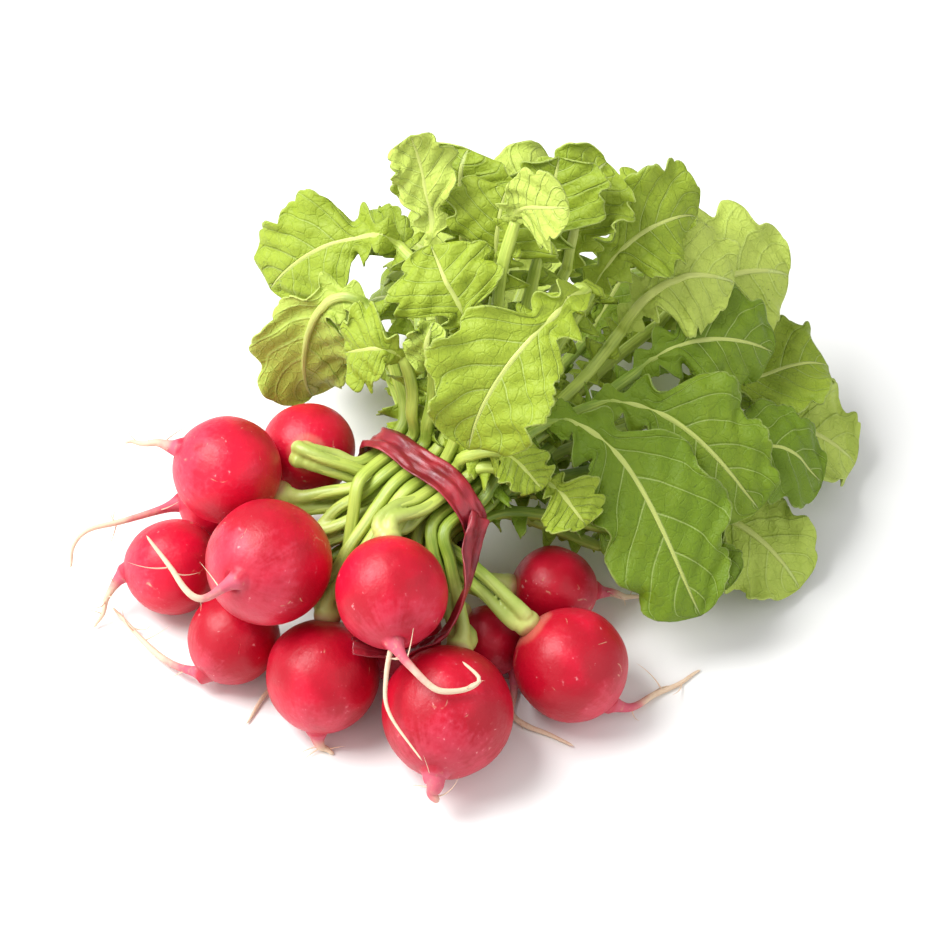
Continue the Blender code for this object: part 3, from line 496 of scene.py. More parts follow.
def cells(distance, place):
    return (np.clip(distance.astype(int), 0, mapReach - 1),
            np.clip((place + mapHalf).astype(int), 0, 2 * mapHalf - 1))


def mark(taken, distance, angle, place):
    np.maximum.at(taken, cells(distance, place), angle)


# the map with each cell raised to its highest neighbour, beyond the tie
def widened(taken):
    high = taken.copy()
    for dx in (-1, 0, 1):
        for dy in (-1, 0, 1):
            high = np.maximum(high, np.roll(np.roll(taken, dx, 0), dy, 1))
    high[:44] = taken[:44]
    return high


def barycentric(order):
    return np.array([(i, j, order - i - j) for i in range(order + 1) for j in range(order + 1 - i)]) / order


# points turned up about the pivot axis
def raisedBy(points, lift):
    distance, angle, place = aroundPivot(points)
    angle = angle + lift
    return np.column_stack([pivot[0] + distance * np.cos(angle), place, pivot[2] + distance * np.sin(angle)])


# rows turned about the pivot axis so that the first of them has the angle of another
def turnedLike(rows, first):
    lift = aroundPivot(first)[1].mean() - aroundPivot(rows[0])[1].mean()
    return [first] + [raisedBy(row, lift) for row in rows[1:]]


# turns a leaf's points up about the pivot axis until it lies clear above what the map holds
def liftClear(rows, halves, tieAt, taken):
    triangles = np.array(gridTriangles(rows))
    points, half = np.vstack(rows), np.concatenate(halves)
    sizes = [len(r) for r in rows]
    rowOf = np.repeat(np.arange(len(rows)), sizes)
    beyond = triangles[(rowOf[triangles] > tieAt).any(axis=1)]
    weights = barycentric(12)
    spots = np.einsum("wk,tkc->twc", weights, points[beyond]).reshape(-1, 3)
    thick = np.einsum("wk,tk->tw", weights, half[beyond]).reshape(-1)
    distance, angle, place = aroundPivot(spots)
    high = widened(taken)[cells(distance, place)]
    short = np.maximum(0, high + (gap + 0.3 + thick) / distance - angle)
    excess = short.reshape(len(beyond), -1).max(axis=1)
    lift = np.zeros(len(points))
    for corner in range(3):
        np.maximum.at(lift, beyond[:, corner], excess)
    byRow = np.array([lift[rowOf == k].max() for k in range(len(rows))])
    middles = np.array([row.mean(axis=0) for row in rows])
    fall = liftSlope * stepLengths(middles) / aroundPivot(middles[1:])[0]
    for k in range(tieAt + 2, len(rows)):
        byRow[k] = max(byRow[k], byRow[k - 1] - fall[k - 1])
    for k in range(len(rows) - 2, tieAt, -1):
        byRow[k] = max(byRow[k], byRow[k + 1] - fall[k])
    lift = np.maximum(lift, byRow[rowOf])
    lift[rowOf <= tieAt] = 0
    raised = np.where(lift[:, None] > 0, raisedBy(points, lift), points)
    spots = np.einsum("wk,tkc->twc", weights, raised[beyond]).reshape(-1, 3)
    distance, angle, place = aroundPivot(spots)
    mark(taken, distance, angle + thick / distance, place)
    return np.split(raised, np.cumsum(sizes)[:-1])


# a point on the oval band round the stalks
def tieOval(angle, grow):
    c, s = math.cos(angle), math.sin(angle)
    stretch = (abs(c)**2.5 + abs(s)**2.5)**(-1 / 2.5)
    return tieCentre + [0, (tieHalfWidth + grow) * c * stretch, (tieHalfHeight + grow) * s * stretch]


# gives the leaves of each layer to the slots of one row, in the order that they fan out
def leafSlots():
    slotOf = {}
    first = 0
    for count in slotRows:
        layer = range(first, first + count)
        fan = sorted(layer, key=lambda k: -math.atan2(leafTable[k][0][1] + leafTable[k][1][1],
                                                      leafTable[k][0][0] + leafTable[k][1][0] + 40))
        slotOf.update(zip(fan, layer))
        first += count
    return slotOf


# each leaf's plant, its rows of points and where its blade begins, with every leaf clear of those below
def stackedLeaves(centres):
    places = slots()
    owners = shareSlots(places, centres)
    chains = routeStalks(places, owners, centres)
    taken = emptyMap(centres, chains)
    rng = np.random.default_rng(seed)
    slotOf = leafSlots()
    leaves = []
    for number, leaf in enumerate(leafTable):
        slot = slotOf[number]
        rows, halves, tieAt, bladeFrom = leafGrid(chains[slot], places[slot], leaf, rng)
        if foldsBack(leaf):
            stalk = liftClear(rows[:bladeFrom + 1], halves[:bladeFrom + 1], tieAt, taken)
            turned = turnedLike(rows[bladeFrom:], stalk[-1])
            rows = stalk[:-1] + liftClear(turned, halves[bladeFrom:], 0, taken)
        else:
            rows = liftClear(rows, halves, tieAt, taken)
        leaves.append((owners[slot], rows, bladeFrom, leaf))
    return leaves


# Meshes

# a smooth curve through the first axis of values, read at fractional steps
def smoothAt(values, at):
    count = len(values)
    padded = np.concatenate([2 * values[:1] - values[1:2], values, 2 * values[-1:] - values[-2:-1]])
    first = np.clip(np.floor(at).astype(int), 0, count - 2)
    t = (at - first).reshape((-1,) + (1,) * (values.ndim - 1))
    a, b, c, d = (padded[first + k] for k in range(4))
    return 0.5 * (2 * b + (c - a) * t + (2 * a - 5 * b + 4 * c - d) * t**2 + (3 * b - a - 3 * c + d) * t**3)


def setValues(piece, name, values, kind="FLOAT"):
    attribute = piece.data.attributes.get(name) or piece.data.attributes.new(name, kind, "POINT")
    field = "vector" if kind == "FLOAT_VECTOR" else "value"
    attribute.data.foreach_set(field, np.asarray(values, float).ravel())


# the same value all over a piece
def setEven(piece, name, value):
    setValues(piece, name, np.full(len(piece.data.vertices), value))


def corners(piece):
    return np.array([v.co for v in piece.data.vertices])


# a grid laid over rows of points
def sheetObject(name, points):
    down, across = points.shape[:2]
    bpy.ops.mesh.primitive_grid_add(x_subdivisions=across - 1, y_subdivisions=down - 1, size=1)
    piece = bpy.context.object
    piece.name = name
    piece.data.vertices.foreach_set("co", ((points.reshape(-1, 3) + shift) * mm).ravel())
    piece.data.update()
    return piece


# turns a sheet, given by its middle, into a thin solid
def thickened(piece, thick, **more):
    applied(piece, "SOLIDIFY", thickness=thick * mm, offset=0, **more)


# joins the seam and the ends of a rolled-up grid
def closeUp(piece):
    bpy.context.view_layer.objects.active = piece
    bpy.ops.object.mode_set(mode="EDIT")
    bpy.ops.mesh.select_all(action="SELECT")
    bpy.ops.mesh.remove_doubles(threshold=2e-6)
    bpy.ops.mesh.normals_make_consistent(inside=False)
    bpy.ops.mesh.select_all(action="DESELECT")
    bpy.ops.object.mode_set(mode="OBJECT")


# rings round a path; section gives the radius round each ring, from the way that first points
def tubePoints(path, first, radii, sides, section=None):
    along = tangents(path)
    normals = carriedNormals(along, first) if np.ndim(first) == 1 else first
    others = np.cross(along, normals)
    turns = np.linspace(0, 2 * math.pi, sides + 1)
    shape = np.ones(sides + 1) if section is None else section(turns)
    reach = radii[:, None, None] * shape[None, :, None]
    rings = path[:, None] + reach * (np.cos(turns)[None, :, None] * normals[:, None]
                                     + np.sin(turns)[None, :, None] * others[:, None])
    rings[0], rings[-1] = path[0], path[-1]
    return rings


def tubeObject(name, path, first, radii, sides, section=None):
    piece = sheetObject(name, tubePoints(path, first, radii, sides, section))
    setValues(piece, "reach", np.repeat(reachAlong(path), sides + 1))
    return piece


def applied(piece, kind, **settings):
    modifier = piece.modifiers.new(kind.lower(), kind)
    for key, value in settings.items():
        setattr(modifier, key, value)
    bpy.context.view_layer.objects.active = piece
    bpy.ops.object.modifier_apply(modifier=modifier.name)


def joined(name, pieces):
    bpy.ops.object.select_all(action="DESELECT")
    for piece in pieces:
        piece.select_set(True)
    bpy.context.view_layer.objects.active = pieces[0]
    if len(pieces) > 1:
        bpy.ops.object.join()
    whole = bpy.context.object
    whole.name = name
    whole.data.name = name
    bpy.ops.object.shade_smooth()
    bpy.ops.object.select_all(action="DESELECT")
    return whole


# gives a piece its materials if it has none, and all its faces one of them
def painted(piece, paints, used=0):
    if not piece.data.materials:
        for paint in paints:
            piece.data.materials.append(paint)
        piece.data.polygons.foreach_set("material_index", np.full(len(piece.data.polygons), used))


# gives a piece its materials and its place in the frame
def finished(piece, node, paints):
    painted(piece, paints)
    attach(piece, "root")
    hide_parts(node)


# Materials

# a node's output, which can be used in sums
class Wire:
    def __init__(self, paint, socket):
        self.paint, self.socket = paint, socket

    def __add__(self, other):
        return self.paint.maths("ADD", self, other)

    def __sub__(self, other):
        return self.paint.maths("SUBTRACT", self, other)

    def __rsub__(self, other):
        return self.paint.maths("SUBTRACT", other, self)

    def __mul__(self, other):
        return self.paint.maths("MULTIPLY", self, other)

    def __pow__(self, other):
        return self.paint.maths("POWER", self, other)

    def __abs__(self):
        return self.paint.maths("ABSOLUTE", self)

    __radd__, __rmul__ = __add__, __mul__


# one material, built up node by node
class Paint:
    def __init__(self, name):
        self.material = bpy.data.materials.new(name)
        self.material.use_nodes = True
        self.tree = self.material.node_tree
        self.shader = self.tree.nodes["Principled BSDF"]

    def node(self, kind, settings, inputs, output=0):
        made = self.tree.nodes.new("ShaderNode" + kind)
        for key, value in settings.items():
            setattr(made, key, value)
        for key, value in inputs.items():
            self.plug(made.inputs[key], value)
        return Wire(self, made.outputs[output])

    def plug(self, socket, value):
        if isinstance(value, Wire):
            self.tree.links.new(value.socket, socket)
        elif hasattr(socket.default_value, "__len__") and len(socket.default_value) == 4:
            socket.default_value = (*value, 1)
        else:
            socket.default_value = value

    def maths(self, operation, *values):
        return self.node("Math", {"operation": operation}, dict(enumerate(values)))

    def place(self):
        return self.node("TexCoord", {}, {}, "Object")

    def read(self, name, output="Fac"):
        return self.node("Attribute", {"attribute_name": name}, {}, output)

    def apart(self, vector, axis):
        return self.node("SeparateXYZ", {}, {0: vector}, axis)

    def stretched(self, vector, scale):
        return self.node("VectorMath", {"operation": "MULTIPLY"}, {0: vector, 1: scale})

    def noise(self, vector, scale, detail=2.0):
        return self.node("TexNoise", {}, {"Vector": vector, "Scale": scale, "Detail": detail}, "Fac")

    def cells(self, vector, scale, feature="F1"):
        return self.node("TexVoronoi", {"feature": feature}, {"Vector": vector, "Scale": scale}, "Distance")

    # 0 below low and 1 above high, or the other way round where low is the larger
    def step(self, value, low, high):
        settings = {"interpolation_type": "SMOOTHSTEP", "clamp": True}
        return self.node("MapRange", settings, {"Value": value, "From Min": low, "From Max": high})

    def mix(self, share, first, second):
        return self.node("Mix", {"data_type": "RGBA"}, {0: share, 6: first, 7: second}, 2)

    def finish(self, colour, roughness, height=None, depth=0.0, **fixed):
        self.plug(self.shader.inputs["Base Color"], colour)
        self.plug(self.shader.inputs["Roughness"], roughness)
        if height is not None:
            bump = self.node("Bump", {}, {"Height": height, "Distance": depth, "Strength": 1.0}, "Normal")
            self.plug(self.shader.inputs["Normal"], bump)
        for key, value in fixed.items():
            self.shader.inputs[key.replace("_", " ")].default_value = value
        return self.material


skin = {
    "deep": (0.40, 0.001, 0.014),
    "bright": (0.62, 0.004, 0.030),
    # pale pink: partly the skin's own paler lower half, partly painted reflection of the pale floor
    "paleSkinAndReflection": (0.67, 0.07, 0.12),
    "scar": (0.62, 0.36, 0.22),
    "speck": (0.86, 0.52, 0.50),
    "root": (0.74, 0.56, 0.40),
    "rootPink": (0.60, 0.10, 0.15),
}


def skinPaint():
    paint = Paint("radishSkin")
    place, along, tone = paint.place(), paint.read("along"), paint.read("tone")
    streak = paint.read("streak", "Vector")
    broad = paint.noise(place, 75, 2)
    middle = paint.noise(place, 210, 3)
    small = paint.noise(place, 700, 4)
    grain = paint.noise(place, 2200, 2)
    lines = paint.noise(paint.stretched(streak, (9, 9, 1.2)), 1.0, 5)
    colour = paint.mix(paint.step(broad + (tone - 0.5) * 0.4, 0.3, 0.7), skin["deep"], skin["bright"])
    # paler pink towards the taproot and in patches: partly the skin's own colour, partly painted reflection
    # of the pale floor
    low = paint.step(along + (broad - 0.5) * 0.5 + (lines - 0.5) * 0.35, 0.55, 1.0)
    paleSkinAndReflection = paint.step(low * 0.9 + (middle - 0.5) * 0.9 + (small - 0.5) * 0.9, 0.25, 1.0)
    paleSkinAndReflection = paleSkinAndReflection + paint.step(broad * 0.5 + small * 0.8, 0.72, 0.95) * 0.5
    colour = paint.mix(paleSkinAndReflection * 0.44 * paint.step(along, 1.05, 0.95), colour, skin["paleSkinAndReflection"])
    specks = paint.step(small, 0.66, 0.76) * paint.step(middle, 0.46, 0.62)
    colour = paint.mix(specks * 0.45, colour, skin["speck"])
    arc = paint.step(abs(paint.noise(place, 95, 1) - 0.5), 0.012, 0.004) * paint.step(middle, 0.6, 0.7)
    colour = paint.mix(arc * paint.step(small, 0.4, 0.55) * 0.6, colour, skin["scar"])
    neck = paint.step(along + (middle - 0.5) * 0.06, 0.06, 0.025)
    colour = paint.mix(neck * 0.25, colour, skin["scar"])
    tail = paint.mix(paint.step(along + (middle - 0.5) * 0.5, 1.5, 1.1), skin["root"], skin["rootPink"])
    tail = paint.mix(paint.step(small, 0.55, 0.7) * 0.35, tail, skin["scar"])
    colour = paint.mix(paint.step(along + (middle - 0.5) * 0.1, 0.985, 1.05), colour, tail)
    roughness = 0.3 + 0.22 * small + 0.25 * paint.step(along, 0.97, 1.08)
    height = broad * 0.6 + middle * 0.26 + small * 0.12 + lines * 0.05 + grain * 0.035 - arc * 0.05
    return paint.finish(colour, roughness, height, 0.0009, Specular_IOR_Level=0.34)


leafLook = {
    "veins": 7.4, "from": 0.27, "rise": 1.9, "stagger": 0.42,
    # vein is the darker green of the fine vein net and of the painted shade in the furrows beside the side
    # veins
    "face": {"dark": (0.13, 0.215, 0.006), "light": (0.29, 0.38, 0.028), "rib": (0.50, 0.58, 0.22),
             "vein": (0.13, 0.23, 0.010), "furrowShadeShare": 0.2, "netShare": 0.12},
    "back": {"dark": (0.33, 0.45, 0.05), "light": (0.43, 0.53, 0.09), "rib": (0.55, 0.64, 0.22),
             "vein": (0.30, 0.42, 0.05), "furrowShadeShare": 0.2, "netShare": 0.14},
    "spot": (0.07, 0.12, 0.01),
}


def leafPaint(name, tints, sunk):
    paint = Paint(name)
    place, tone = paint.place(), paint.read("tone")
    sheet = paint.node("UVMap", {"uv_map": "UVMap"}, {}, "UV")
    side, along = paint.apart(sheet, "X"), paint.apart(sheet, "Y")
    out = abs(side * 2 - 1)
    broad = paint.noise(place, 55, 2)
    small = paint.noise(place, 380, 4)
    grain = paint.noise(place, 2400, 2)
    phase = ((along - leafLook["from"]) * leafLook["veins"] - out**1.15 * leafLook["rise"] + broad * 0.25
             + paint.maths("GREATER_THAN", side, 0.5) * leafLook["stagger"])
    off = abs(paint.maths("FRACT", phase) - 0.5)
    started = paint.step(along, 0.2, 0.3)
    shadedFurrow = paint.step(off + out * 0.03, 0.12, 0.03) * started
    vein = paint.step(off + out * 0.02, 0.04, 0.014) * started
    rib = paint.step(out, 0.05, 0.015)
    net = paint.step(paint.cells(place, 300, "DISTANCE_TO_EDGE"), 0.09, 0.0)
    fine = paint.step(paint.cells(place, 720, "DISTANCE_TO_EDGE"), 0.10, 0.0)
    shade = paint.step(broad * 0.5 + tone * 0.9 + small * 0.3, 0.45, 1.25)
    spots = paint.step(paint.noise(place, 900, 2), 0.66, 0.72)
    spots = spots * paint.step(paint.noise(place, 40, 1), 0.58, 0.66)
    colour = paint.mix(shade, tints["dark"], tints["light"])
    colour = paint.mix((net + fine * 0.6) * tints["netShare"], colour, tints["vein"])
    # painted shade: darker bands along the side veins, in the furrows that are sunk on the blade's face
    colour = paint.mix(shadedFurrow * tints["furrowShadeShare"], colour, tints["vein"])
    colour = paint.mix(vein * 0.4, colour, tints["rib"])
    colour = paint.mix(rib * 0.7, colour, tints["rib"])
    colour = paint.mix(paint.step(out, 0.96, 1.0) * 0.3, colour, tints["rib"])
    colour = paint.mix(spots * 0.6, colour, leafLook["spot"])
    relief = net * 0.12 + fine * 0.06 + shadedFurrow * 0.25 + rib * 0.4
    height = small * 0.5 + grain * 0.1 + relief * (-1 if sunk else 1)
    return paint.finish(colour, 0.4 + 0.25 * small, height, 0.0008, Specular_IOR_Level=0.3)


stalkLook = {
    "green": (0.15, 0.25, 0.012),
    "pale": (0.46, 0.56, 0.09),
    "young": (0.56, 0.62, 0.17),
    "blush": (0.36, 0.08, 0.07),
    "youngLength": 26, "ribFade": 12,
}


def stalkPaint():
    paint = Paint("leafStalk")
    place, young, tone = paint.place(), paint.read("young"), paint.read("tone")
    sheet = paint.node("UVMap", {"uv_map": "UVMap"}, {}, "UV")
    lines = paint.noise(paint.stretched(sheet, (14, 10, 1)), 1.0, 4)
    broad = paint.noise(place, 120, 2)
    # pale on the raised streaks and green in the sunk ones: partly the stalk's own streaky tone, partly
    # painted highlight and shade of its ridges and grooves
    shade = paint.step(lines * 0.7 + broad * 0.4 + tone * 0.3, 0.45, 0.95)
    colour = paint.mix(shade, stalkLook["green"], stalkLook["pale"])
    colour = paint.mix(paint.step(young, 0.0, 1.0), colour, stalkLook["young"])
    blush = paint.step(young + (broad - 0.5) * 0.5, 0.93, 1.15)
    colour = paint.mix(blush * 0.7, colour, stalkLook["blush"])
    height = lines * 0.6 + paint.noise(place, 900, 2) * 0.2
    return paint.finish(colour, 0.36 + 0.12 * broad, height, 0.0004)


ribbonLook = {"dark": (0.17, 0.006, 0.014), "red": (0.37, 0.018, 0.032), "creaseSheen": (0.54, 0.11, 0.12)}


def ribbonPaint():
    paint = Paint("ribbonFilm")
    place = paint.place()
    sheet = paint.node("UVMap", {"uv_map": "UVMap"}, {}, "UV")
    threads = paint.noise(paint.stretched(sheet, (60, 6, 1)), 1.0, 3)
    creases = paint.noise(place, 260, 4)
    broad = paint.noise(place, 110, 2)
    # darker where the creases sink, as painted shade, and in broad patches of the film's own uneven tone
    shade = paint.step(broad * 0.6 + creases * 0.5, 0.35, 0.75)
    colour = paint.mix(shade, ribbonLook["dark"], ribbonLook["red"])
    # painted sheen: paler red on the crests of the creases
    colour = paint.mix(paint.step(creases, 0.6, 0.78) * 0.35, colour, ribbonLook["creaseSheen"])
    height = creases * 0.6 + threads * 0.15
    return paint.finish(colour, 0.24 + 0.2 * creases, height, 0.0005, Specular_IOR_Level=0.6)


# Radishes

bulbShape = {
    "around": 60, "down": 40, "neck": 13, "last": 152, "inTail": 12, "tailSteps": 34,
    "wobble": 0.011, "lumps": 5, "fillet": 1.7, "fade": 2.6, "root": 0.85, "tip": 0.22, "blend": 2.6,
    "waves": (9, 14, 11), "wave": 0.45, "courseFrom": 1.5,
}
stoutRoots = {"radish_09": 2.1}  # how much thicker than usual a taproot is


def smoothStep(value, low, high):
    t = np.clip((value - low) / (high - low), 0, 1)
    return t * t * (3 - 2 * t)


def radishPiece(name, centre, dice):
    radius, _, rootWay, course = rootTable[name]
    way = unit(rootWay)
    base = centre + way * radius
    courseFrom = base + way * bulbShape["courseFrom"]
    tail = smoothPath([base] + [courseFrom + np.array(p, float) for p in course], bulbShape["tailSteps"])
    wave = dice.uniform(-1, 1, (3, 3))
    steps = np.linspace(0, 1, len(tail))[:, None]
    tail = tail + np.sin(steps * [bulbShape["waves"]] + wave[:1] * 3) * steps * bulbShape["wave"]
    tail[:, 2] = np.maximum(tail[:, 2], 0.3 + 0.9 * (1 - steps[:, 0]))
    levels = -np.cos(np.radians(np.linspace(bulbShape["neck"], bulbShape["last"], bulbShape["down"])))
    lowest = np.linspace(levels[-1], 1, bulbShape["inTail"])[1:-1]
    inside = np.concatenate([[levels[0] - 0.01], levels, lowest])
    path = np.vstack([centre + way * inside[:, None] * radius, tail])
    reach = np.concatenate([inside * radius, radius + reachAlong(tail)])
    past = reach - radius
    length = past[-1]
    bulb = np.sqrt(np.maximum(radius**2 - reach**2, 0))
    thin = bulbShape["root"] * (1 - np.clip(past / length, 0, 1))**0.6 + bulbShape["tip"]
    stout = stoutRoots.get(name, 1)
    root = thin * stout + bulbShape["fillet"] * np.exp(-past / bulbShape["fade"])
    root = root * smoothStep(reach, 0.7 * radius, radius)
    blend = bulbShape["blend"]
    radii = (bulb**blend + root**blend)**(1 / blend)
    rings = tubePoints(path, sideOf(way), radii, bulbShape["around"])
    turns = np.linspace(0, 2 * math.pi, bulbShape["around"] + 1)
    phase = dice.uniform(0, fullTurn, 6)
    level = reach[:, None] / radius
    lumps = sum(np.sin((k + 1) * turns + phase[k] + (2 + k) * level) / (1 + 0.5 * k)
                for k in range(bulbShape["lumps"]))
    swell = (1 + bulbShape["wobble"] * lumps * (radii[:, None] > 3))[..., None]
    rings = path[:, None] + (rings - path[:, None]) * swell
    rings[..., 2] = np.maximum(rings[..., 2], 0.02)
    rings[0], rings[-1] = path[0], path[-1]
    piece = sheetObject(name, rings)
    along = np.where(reach < radius, (reach + radius) / (2 * radius), 1 + past / length / stout**1.5)
    around = len(turns)
    setValues(piece, "along", np.repeat(along, around))
    ring = np.tile(np.column_stack([np.cos(turns), np.sin(turns)]), (len(path), 1))
    setValues(piece, "streak", np.column_stack([ring, np.repeat(along, around)]), "FLOAT_VECTOR")
    closeUp(piece)
    return [piece], tail, base, way


rootlets = {"each": 4, "points": 9, "sides": 6, "radius": 0.2, "shortest": 4, "longest": 11,
            "along": 1.55}


# fine side roots on a taproot, and the thicker one that CAD gives
def rootletPieces(name, tail, base, way, dice):
    pieces = []
    if name in sideRoots:
        courseFrom = base + way * bulbShape["courseFrom"]
        line = smoothPath([base - way * 2] + [courseFrom + np.array(p, float) for p in sideRoots[name]], 30)
        pieces.append(tubeObject("sideRoot", line, up, np.linspace(0.8, 0.2, len(line)), 10))
    for _ in range(rootlets["each"]):
        start = tail[int(dice.integers(3, len(tail) - 8))]
        heading = unit(dice.normal(0, 1, 3) + [0, 0, -0.2])
        length = dice.uniform(rootlets["shortest"], rootlets["longest"])
        steps = np.linspace(0, 1, rootlets["points"])[:, None]
        bend = dice.normal(0, 0.35, 3)
        line = start + heading * steps * length + bend * steps**2 * length
        line[:, 2] = np.maximum(line[:, 2], 0.25)
        radii = rootlets["radius"] * (1.15 - steps[:, 0])
        pieces.append(tubeObject("rootlet", line, up + 0.01, radii, rootlets["sides"]))
    for piece in pieces:
        setEven(piece, "along", rootlets["along"])
        setValues(piece, "streak", corners(piece) * 40, "FLOAT_VECTOR")
        closeUp(piece)
    return pieces


# Leaves

leafShape = {
    "down": 88, "across": 34, "smallDown": 40, "smallAcross": 20, "thick": 0.44,
    "teeth": 3.1, "toothDepth": 1.15, "evening": 0.18, "lobes": 3.1, "lobeDepth": 0.2,
    "ruffle": 1.5, "ruffleLength": 13,
    "quilt": 0.17, "rib": 0.35, "pucker": 0.75,
    "stalk": 1.6, "stalkStep": 1.6, "stalkSides": 16, "ribStep": 2, "ribTip": 0.28,
    "ribOnFace": 0.85, "ribOnBack": 1.15, "sunkOnFace": -0.6, "raisedOnBack": 0.45,
}
backUp = (2, 4, 15, 19, 21, 25, 30, 36)  # leaves whose underside shows
deepLeaves = (6, 7, 11, 14, 18, 31, 32)  # leaves of a darker green


def fiveAcross(row):
    if len(row) == 5:
        return row
    left, middle, right = row
    return np.array([left, 0.375 * left + 0.75 * middle - 0.125 * right, middle,
                     -0.125 * left + 0.75 * middle + 0.375 * right, right])


def bladeSurface(rows, shares, down, across):
    coarse = np.array([fiveAcross(row) for row in rows])
    reach = coarse - coarse[:, 2:3]
    even = leafShape["evening"] * (reach[:-2] + reach[2:] - 2 * reach[1:-1])
    coarse[1:-1] += even * (np.array(shares)[1:-1] > 0.35)[:, None, None]
    along = np.linspace(0, 1, down + 1)
    fine = smoothAt(coarse, np.interp(along, shares, np.arange(len(shares))))
    columns = np.linspace(-1, 1, across + 1)
    fine = smoothAt(fine.transpose(1, 0, 2), (columns + 1) * 2).transpose(1, 0, 2)
    return fine, along, columns


def surfaceNormals(points):
    normals = np.cross(np.gradient(points, axis=0), np.gradient(points, axis=1))
    return normals / (np.linalg.norm(normals, axis=2, keepdims=True) + 1e-9)


# a leaf blade with its toothed and ruffled edge, and the relief of its veins
def bladeObject(rows, leaf, back, dice):
    small = leaf[3] < smallLeaf
    shares = [share for share, _ in bladeProfile(leaf)]
    down = leafShape["smallDown" if small else "down"]
    across = leafShape["smallAcross" if small else "across"]
    points, u, v = bladeSurface(rows, shares, down, across)
    u, v = u[:, None], v[None]
    out = np.abs(v)
    middle = points[:, across // 2:across // 2 + 1]
    length = stepLengths(middle[:, 0]).sum()
    half = np.linalg.norm(points - middle, axis=2).max(axis=1)[:, None] + 1e-6
    right = (v > 0) * 1.0
    phase = dice.uniform(0, fullTurn, 8)
    teeth = np.abs(np.sin(math.pi * u * length / leafShape["teeth"] + phase[0] + right * phase[1]))
    teeth = (teeth**0.6 - 0.65) * (0.7 + 0.5 * np.sin(7 * u + phase[2] + 2 * right))
    grow = 1 + teeth * leafShape["toothDepth"] / np.maximum(half, 3) * out**6
    uneven = u + 0.06 * np.sin(9 * u)
    sinus = np.abs(np.cos(math.pi * leafShape["lobes"] * uneven + phase[7] + 0.8 * right))**5
    sinus = sinus * out**2 * smoothStep(u, 0.3, 0.42) * smoothStep(1 - u, 0.04, 0.16)
    grow = grow - leafShape["lobeDepth"] * sinus
    tip = np.sqrt(np.clip(1 - (np.clip(u - 0.93, 0, 1) / 0.07)**2, 0, 1))
    points = middle + (points - middle) * grow[..., None] * tip[..., None]
    normals = surfaceNormals(points)
    window = smoothStep(u, 0.02, 0.2) * smoothStep(1 - u, 0.0, 0.1)
    ruffle = leafShape["ruffle"] * out**3 * np.sin(2 * math.pi * u * length / leafShape["ruffleLength"]
                                                   + phase[3] + right * phase[4])
    line = ((u - leafLook["from"]) * leafLook["veins"] - out**1.15 * leafLook["rise"]
            + (v < 0) * leafLook["stagger"])
    off = np.abs(line - np.floor(line) - 0.5)
    quilt = leafShape["quilt"] * (1 - 2 * np.exp(-(off / 0.11)**2)) * np.minimum(1, 3 * out) * (1 - out**4)
    quilt = quilt * smoothStep(u, 0.2, 0.3)
    rib = -leafShape["rib"] * np.exp(-(out / 0.07)**2)
    pucker = leafShape["pucker"] * (np.sin(u * length * 0.55 + phase[5] + 3 * v)
                                    * np.sin(v * half * 0.5 + phase[6] + 9 * u) * np.minimum(1, 3 * out))
    height = (ruffle + pucker) * window + (quilt + rib) * (-1 if back else 1) * window
    points = points + normals * height[..., None] * (half[..., None] > 2)
    points[..., 2] = np.maximum(points[..., 2], 0.4)
    blade = sheetObject("blade", points[:, ::-1])
    painted(blade, leafPaints, 1 if back else 0)
    closeUp(blade)
    thickened(blade, leafShape["thick"], material_offset=-1 if back else 1, material_offset_rim=0)
    return blade, middle[:, 0], surfaceNormals(points)[:, across // 2]


def stalkSection(turns):
    groove = 0.3 * np.exp(-((np.minimum(turns, 2 * math.pi - turns)) / 0.55)**2)
    return 1.03 - groove + 0.045 * np.cos(5 * turns)


# a stalk from its crown through the tie, which goes on as the blade's midrib
def stalkObject(rows, bladeFrom, middle, normals, back):
    lower = np.array([row[len(row) // 2] for row in rows[:bladeFrom + 1]])
    across = np.array([unit(row[-1] - row[0]) for row in rows[:bladeFrom + 1]])
    length = stepLengths(lower).sum()
    fine = smoothPath(np.hstack([lower, across]), max(12, round(length / leafShape["stalkStep"])))
    path, sides = fine[:, :3], fine[:, 3:]
    outward = np.array([unit(np.cross(t, s)) for t, s in zip(tangents(path), sides)])
    step = leafShape["ribStep"]
    u = np.linspace(0, 1, len(middle))[step::step]
    ribRadius = leafShape["ribOnBack" if back else "ribOnFace"] * (1 - u)**0.8
    ribRadius = ribRadius + leafShape["ribTip"] * (1 - u**4)
    lift = ribRadius * leafShape["raisedOnBack" if back else "sunkOnFace"]
    whole = np.vstack([path, middle[step::step] + normals[step::step] * lift[:, None]])
    faces = np.vstack([outward, normals[step::step]])
    radii = np.concatenate([np.full(len(path), leafShape["stalk"]), ribRadius])
    radii = np.convolve(np.pad(radii, 2, "edge"), np.ones(5) / 5, "valid")
    along = tangents(whole)
    faces = np.array([unit(n - t * (n @ t)) for n, t in zip(faces, along)])
    stalk = tubeObject("stalk", whole, faces, radii, leafShape["stalkSides"], stalkSection)
    reach = np.zeros(len(stalk.data.vertices))
    stalk.data.attributes["reach"].data.foreach_get("value", reach)
    young = np.clip(1.0 - reach / stalkLook["youngLength"], 0, 1) * 0.8
    young = young + 0.7 * smoothStep(reach, length, length + stalkLook["ribFade"])
    setValues(stalk, "young", young)
    closeUp(stalk)
    painted(stalk, leafPaints, 2)
    return stalk, path, sides


frillShape = {"from": 8.0, "half": 5.2, "pitch": 8.5, "rows": 70, "columns": 8, "thick": 0.35}


